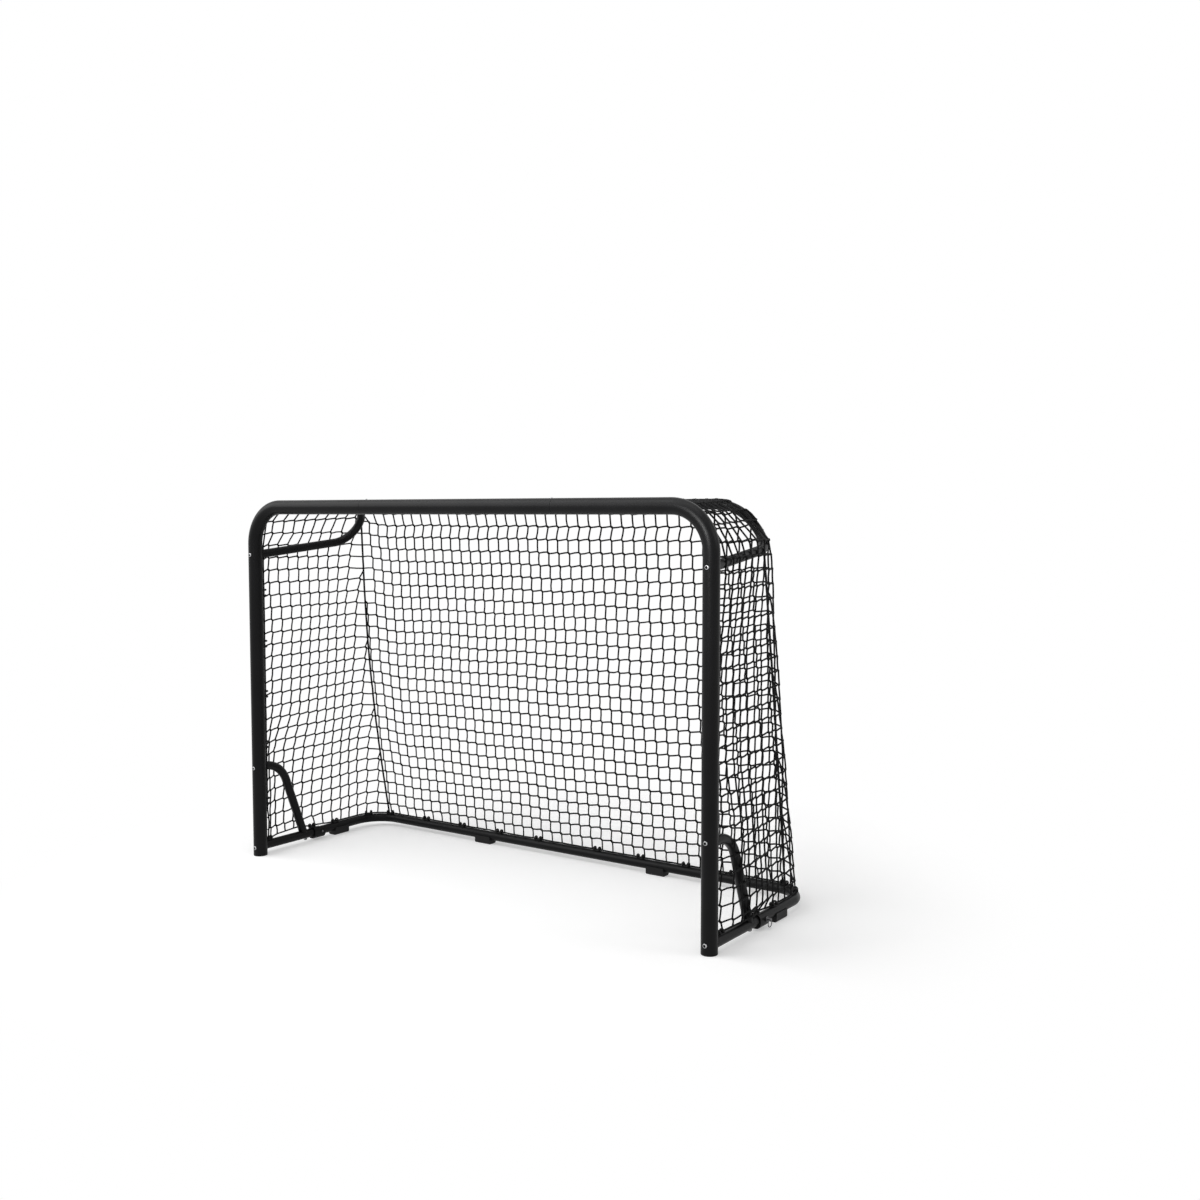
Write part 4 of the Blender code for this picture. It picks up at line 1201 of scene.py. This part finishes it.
def make_back_net():
    strands = Strands()
    half = [column_x(index) for index in range(BACK_COLUMNS + 1)]
    columns = [-x for x in reversed(half)] + half
    grid = [[back_knot(x, row) for x in columns] for row in range(BACK_ROWS)]
    jogs = tie_knots(grid, strands)
    for row, knots in enumerate(grid):
        left, right = (back_row_end(side, row_height(row)) for _, side in SIDES)
        strands.add_strand(jogged([left, *present(knots), right], jogs, 1.0))
    for x, column in zip(columns, zip(*grid)):
        line = present(column)
        if not line:
            continue
        if column[0] is not None:
            over = max(abs(x) - (SIDE_X - GROUND_BEND_R), 0.0)
            y = REAR_Y - GROUND_BEND_R + math.sqrt(GROUND_BEND_R**2 - over**2)
            line = [Vector((x, y, FOOT_CORD_Z)), *line]
        if abs(x) <= column_x(BACK_COLUMNS - 1) + LIP:
            line += over_bar(x)
        strands.add_strand(jogged(line, jogs, -1.0))
    return strands.finish("back_netting", None, ("back_net",))


# Roof and haunches.


def cover_end(side, index):
    """Where a line of the roof ends on the bow. Those beyond the back net's last column end on the bend."""
    if index > BACK_COLUMNS - 1:
        axis, offset = bow_at_height(side, row_height(SIDE_ROWS + 2)), HAUNCH_END
    elif index == BACK_COLUMNS - 1:
        axis, offset = bow_at_x(side, column_x(index)), BEND_END
    else:
        axis, offset = bow_at_x(side, column_x(index)), ROOF_END
        axis.x = leaned(axis.x, NET_TOP_Z)
    return axis + mirrored(Vector(offset), side)


def cover_ends(side):
    """Front and rear ends of the lines back over haunch and roof, from the third row over the arm inward."""
    start = (side * POST_X, POST_Y, row_height(SIDE_ROWS))
    corner = (side * POST_X, POST_Y, CROSSBAR_Z)
    front = rounded_path((start, corner, (0.0, POST_Y, CROSSBAR_Z)), (FRONT_BEND_R,), 3.0)
    spacing = (length_of(front) - PITCH / 2) / (ROOF_LINES + 3)
    ends = []
    for line in range(ROOF_LINES + 2):
        lift = smoothstep(line / 3)
        out = Vector((0.0, mix(1.0, LACED[0], lift), LACED[1] * lift))
        first = point_along(front, spacing * (line + 2)) + out * LACED_OUT
        ends.append((first, cover_end(side, ROOF_LINES + 1 - line)))
    return ends


def cover_point(first, last, y, line):
    """A point of a roof or haunch line at this distance back, with its slack."""
    share = (y - first.y) / (last.y - first.y)
    if not ROOF_SPAN[0] < share < ROOF_SPAN[1]:
        return None
    point = first.lerp(last, share)
    slack = smoothstep((line - 1) / 3)
    point.z -= ROOF_SLACK * slack * math.sin(math.pi * share)
    return wandered(point, ROOF_SEED, (ROOF_WANDER[0] * slack, ROOF_WANDER[1], ROOF_WANDER[2]))


def unbroken(knots, rear_ends):
    """The runs of a line between its gaps. A run ends where the line in the gap meets the bow."""
    runs, run = [], []
    for index, point in enumerate(knots):
        if point is not None:
            if not run and index and rear_ends[index - 1] is not None and knots[index - 1] is None:
                run.append(rear_ends[index - 1])
            run.append(point)
        elif run:
            runs.append([*run, rear_ends[index]])
            run = []
    return runs + [run] if run else runs


def make_cover_net(side_tops):
    """The roof and both haunches: lines that run back, and the columns of the side nets' top rows across."""
    strands = Strands()
    left, right = ([(*ends, line) for line, ends in enumerate(cover_ends(side))] for _, side in SIDES)
    lines = left + right[::-1]
    grid = []
    for column in range(ROOF_COLUMNS):
        y = NET_FRONT_Y + FIRST_COLUMN + PITCH * column
        knots = [cover_point(first, last, y, line) for first, last, line in lines]
        grid.append([side_tops[0][column], *knots, side_tops[1][column]])
    jogs = tie_knots(grid, strands)
    rear_ends = [None, *(last for _, last, _ in lines), None]
    for knots in grid:
        for run in unbroken(knots, rear_ends):
            strands.add_strand(jogged(run, jogs, 1.0))
    for (first, last, _), column in zip(lines, list(zip(*grid))[1:-1]):
        strands.add_strand(jogged([first, *present(column), last], jogs, -1.0))
    strands.finish("roof_netting", "frame", ("roof_net", "left_haunch_net", "right_haunch_net"))


# Cords along the net's edges and corners.


def make_cord(name, line, body, radius=EDGE_CORD_R):
    cord = Strands()
    cord.add_strand(line, radius, CORD_SIDES, CORD_STRAY)
    return cord.finish(name, body, (), THICK_CORD)


def front_edge(side):
    """The edge cord along the back of a post and of its half of the crossbar."""
    line = [net_foot(side)[0] + Vector((0.0, -0.0005, 0.0))]
    line.append(Vector((side * (NET_FRONT_X - 0.0005), NET_FRONT_Y + 0.005, 0.110)))
    for height in np.arange(POST_CORD_Z, row_height(SIDE_ROWS + 1), POST_CORD_STEP):
        line.append(Vector((side * NET_FRONT_X, NET_FRONT_Y, float(height))))
    line += [first for first, _ in cover_ends(side)]
    line.append(Vector((0.0, line[-1].y, line[-1].z)))
    return line


def rear_edge():
    """The edge cord from one corner cord's foot round the bends and along the rear bar to the other's."""
    foot = Vector((CORD_FOOT[0], CORD_FOOT[1], FOOT_CORD_Z))
    bend = [Vector((point.x, point.y, FOOT_CORD_Z)) for point in ground_path(1.0, 0.0, 0.0, CORD_STEP_DEG)]
    half = [foot, *(point for point in bend if 0.0 < point.x < CORD_FOOT[0])]
    bar = np.arange(-REAR_CORD_X, REAR_CORD_X + LIP, REAR_CORD_STEP)
    middle = [Vector((x, REAR_Y, FOOT_CORD_Z)) for x in bar]
    return [mirrored(point, -1.0) for point in half] + middle + half[::-1]


def make_cords():
    """The thicker cords. Gives those that bend in the fold."""
    pieces = []
    for label, side in SIDES:
        corner = []
        for step in range(CORD_STEPS + 1):
            z = mix(CORD_TOP[2], CORD_FOOT[2] + CORD_FOOT_LIFT, step / CORD_STEPS)
            x, y = corner_cord(z)
            corner.append(Vector((side * x, y, z)))
        pieces.append(make_cord(f"{label}_corner_cord", corner, None, CORNER_CORD_R))
        pieces.append(make_cord(f"{label}_foot_cord", net_foot(side), None))
        make_cord(f"{label}_post_cord", front_edge(side), "frame")
    pieces.append(make_cord("rear_foot_cord", rear_edge(), None))
    return pieces


def make_nets():
    grids = {side: side_grid(side) for _, side in SIDES}
    pieces = [make_side_net(label, side, *grids[side]) for label, side in SIDES]
    pieces.append(make_back_net())
    make_cover_net([grids[side][0][-1] for _, side in SIDES])
    pieces += make_cords()
    for piece in pieces:
        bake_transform(piece)


# Net clips.


def clip_shells(centre, along, out):
    """One clip: a saddle with rounded ends and two hooks that close over the edge cord."""
    across = along.cross(out)
    end = CLIP_WIDTH / 2
    outline = []
    for start, sign in ((-90.0, 1.0), (90.0, -1.0)):
        for step in range(7):
            angle = math.radians(start + 30.0 * step)
            outline.append((sign * (CLIP_LENGTH / 2 - end) + end * math.cos(angle), end * math.sin(angle)))
    rings = []
    for inset, lift in ((0.0006, -0.0004), (0.0, 0.0004), (0.0, CLIP_THICK - 0.0006), (0.0008, CLIP_THICK)):
        scale = 1.0 - inset / end
        rings.append([centre + along * a * scale + across * b * scale + out * lift for a, b in outline])
    shells = [skin(rings)]
    for shift in (-HOOK_SPREAD, HOOK_SPREAD):
        middle = centre + along * shift + out * HOOK_LIFT
        path = []
        for step in range(HOOK_STEPS + 1):
            angle = math.radians(HOOK_START_DEG + HOOK_STEP_DEG * step)
            sideways, outward = HOOK_R * math.sin(angle), HOOK_R * math.cos(angle) * HOOK_FLAT
            path.append(middle + across * sideways + out * outward)
        radii = [HOOK_WIRE_R * HOOK_TAPER, *[HOOK_WIRE_R] * (HOOK_STEPS - 1), HOOK_WIRE_R * HOOK_TAPER]
        frames = frames_along(path, along)
        rings = [ring(point, *square, r, CORD_SIDES) for (point, _, *square), r in zip(frames, radii)]
        shells.append(skin(rings))
    return shells


def make_clips(name, places, body):
    """Clips in a row. A place is a seat, the direction of the cord and the direction out of the tube."""
    shells = []
    for centre, along, out in places:
        along, out = Vector(along).normalized(), Vector(out).normalized()
        out = (out - along * out.dot(along)).normalized()
        shells += clip_shells(Vector(centre), along, out)
    add_piece(name, joined(shells), PLASTIC, body)


def make_all_clips():
    top = GROUND_Z + GROUND_R - CLIP_SINK
    right, back, up = (1.0, 0.0, 0.0), (0.0, 1.0, 0.0), (0.0, 0.0, 1.0)
    offsets = [FIRST_REAR_CLIP_X + CLIP_SPACING * step for step in range(REAR_CLIPS)]
    rear = [((side * x, REAR_Y, top), right, up) for _, side in SIDES for x in offsets]
    make_clips("rear_net_clips", rear, "rear_fold")
    for label, side in SIDES:
        bend = Vector((side * (SIDE_X - GROUND_BEND_R), REAR_Y - GROUND_BEND_R, top))
        places = [((side * SIDE_X, SIDE_CLIP_Y, top), back, up)]
        for degrees in BEND_CLIP_DEG:
            angle = math.radians(degrees)
            out = Vector((side * math.cos(angle), math.sin(angle), 0.0))
            places.append((bend + out * GROUND_BEND_R, (-side * math.sin(angle), math.cos(angle), 0.0), up))
        make_clips(f"{label}_side_net_clips", places, "rear_fold")
        out = Vector((-side * CLIP_INWARD, 1.0, 0.0)).normalized()
        seat = Vector((side * POST_X, POST_Y, 0.0)) + out * (POST_R - LIP)
        places = [(seat + Vector((0.0, 0.0, z)), up, out) for z in POST_CLIP_HEIGHTS]
        places.append(((side * SIDE_X, STUB_CLIP_Y, top), back, up))
        places.append(((side * SIDE_X, COLLAR_CLIP_Y, COLLAR_TOP_Z), back, up))
        make_clips(f"{label}_post_net_clips", places, "frame")
    out = Vector((0.0, *LACED))
    bar = Vector((0.0, POST_Y, CROSSBAR_Z)) + out * (POST_R - CLIP_SINK)
    steps = range(-(CROSSBAR_CLIPS // 2), CROSSBAR_CLIPS // 2 + 1)
    places = [(bar + Vector((CLIP_SPACING * step, 0.0, 0.0)), right, out) for step in steps]
    make_clips("crossbar_net_clips", places, "frame")


# Stage, light and camera.


def far_from_goal(tree):
    """0 on the floor round the goal, 1 well away from it."""
    distance = tree.add("VectorMath", {0: tree.place()}, operation="LENGTH").outputs["Value"]
    inputs = {"Value": distance, "From Min": FLOOR_FADE[0], "From Max": FLOOR_FADE[1]}
    return tree.add("MapRange", inputs, interpolation_type="SMOOTHSTEP").outputs["Result"]


def make_stage():
    material = bpy.data.materials.new("white_floor")
    tree = Shader(material)
    shader = tree.nodes["Principled BSDF"]
    tree.feed(shader, {"Base Color": FLOOR_WHITE, "Roughness": 0.9, "Specular IOR Level": 0.0})
    both = tree.add("AddShader", {0: shader.outputs[0], 1: tree.glow(FLOOR_GLOW)}).outputs[0]
    seen = tree.mix(far_from_goal(tree), both, tree.glow(1.0))
    surface = tree.mix(tree.seen_ray(), shader.outputs[0], seen)
    tree.feed(tree.nodes["Material Output"], {"Surface": surface})
    corners = [(x * FLOOR_HALF, y * FLOOR_HALF, FLOOR_Z) for x, y in ((-1, -1), (1, -1), (1, 1), (-1, 1))]
    floor = new_object("floor", corners, [(0, 1, 2, 3)])
    floor.data.materials.append(material)


def make_world():
    world = bpy.data.worlds.new("studio")
    bpy.context.scene.world = world
    tree = Shader(world)
    ambient = tree.nodes["Background"]
    tree.feed(ambient, {"Color": WHITE, "Strength": AMBIENT})
    white = tree.add("Background", {"Color": WHITE, "Strength": 1.0})
    surface = tree.mix(tree.seen_ray(), ambient.outputs[0], white.outputs[0])
    tree.feed(tree.nodes["World Output"], {"Surface": surface})


def make_lamps():
    for name, (place, target, size, power, spread_deg) in LAMPS.items():
        light = bpy.data.lights.new(name, "AREA")
        light.shape = "RECTANGLE"
        light.size, light.size_y = size
        light.energy = power
        light.spread = math.radians(spread_deg)
        lamp = bpy.data.objects.new(name, light)
        lamp.location = place
        lamp.rotation_euler = (Vector(target) - Vector(place)).to_track_quat("-Z", "Y").to_euler()
        bpy.context.scene.collection.objects.link(lamp)


def make_camera():
    camera = bpy.data.objects.new("camera", bpy.data.cameras.new("camera"))
    camera.location = EYE
    camera.rotation_euler = (math.pi / 2 - EYE_TILT, 0.0, EYE_YAW)
    camera.data.lens = LENS_MM
    camera.data.sensor_width = SENSOR_MM
    camera.data.clip_end = VIEW_REACH
    bpy.context.scene.collection.objects.link(camera)
    bpy.context.scene.camera = camera


make_camera()
make_front_frame()
make_bow()
make_side_frames()
make_ground_frame()
make_bolts()
make_ring_pins()
dress_kept_nodes()
make_nets()
make_all_clips()
make_stage()
make_world()
make_lamps()
bpy.context.scene.view_settings.view_transform = "Standard"
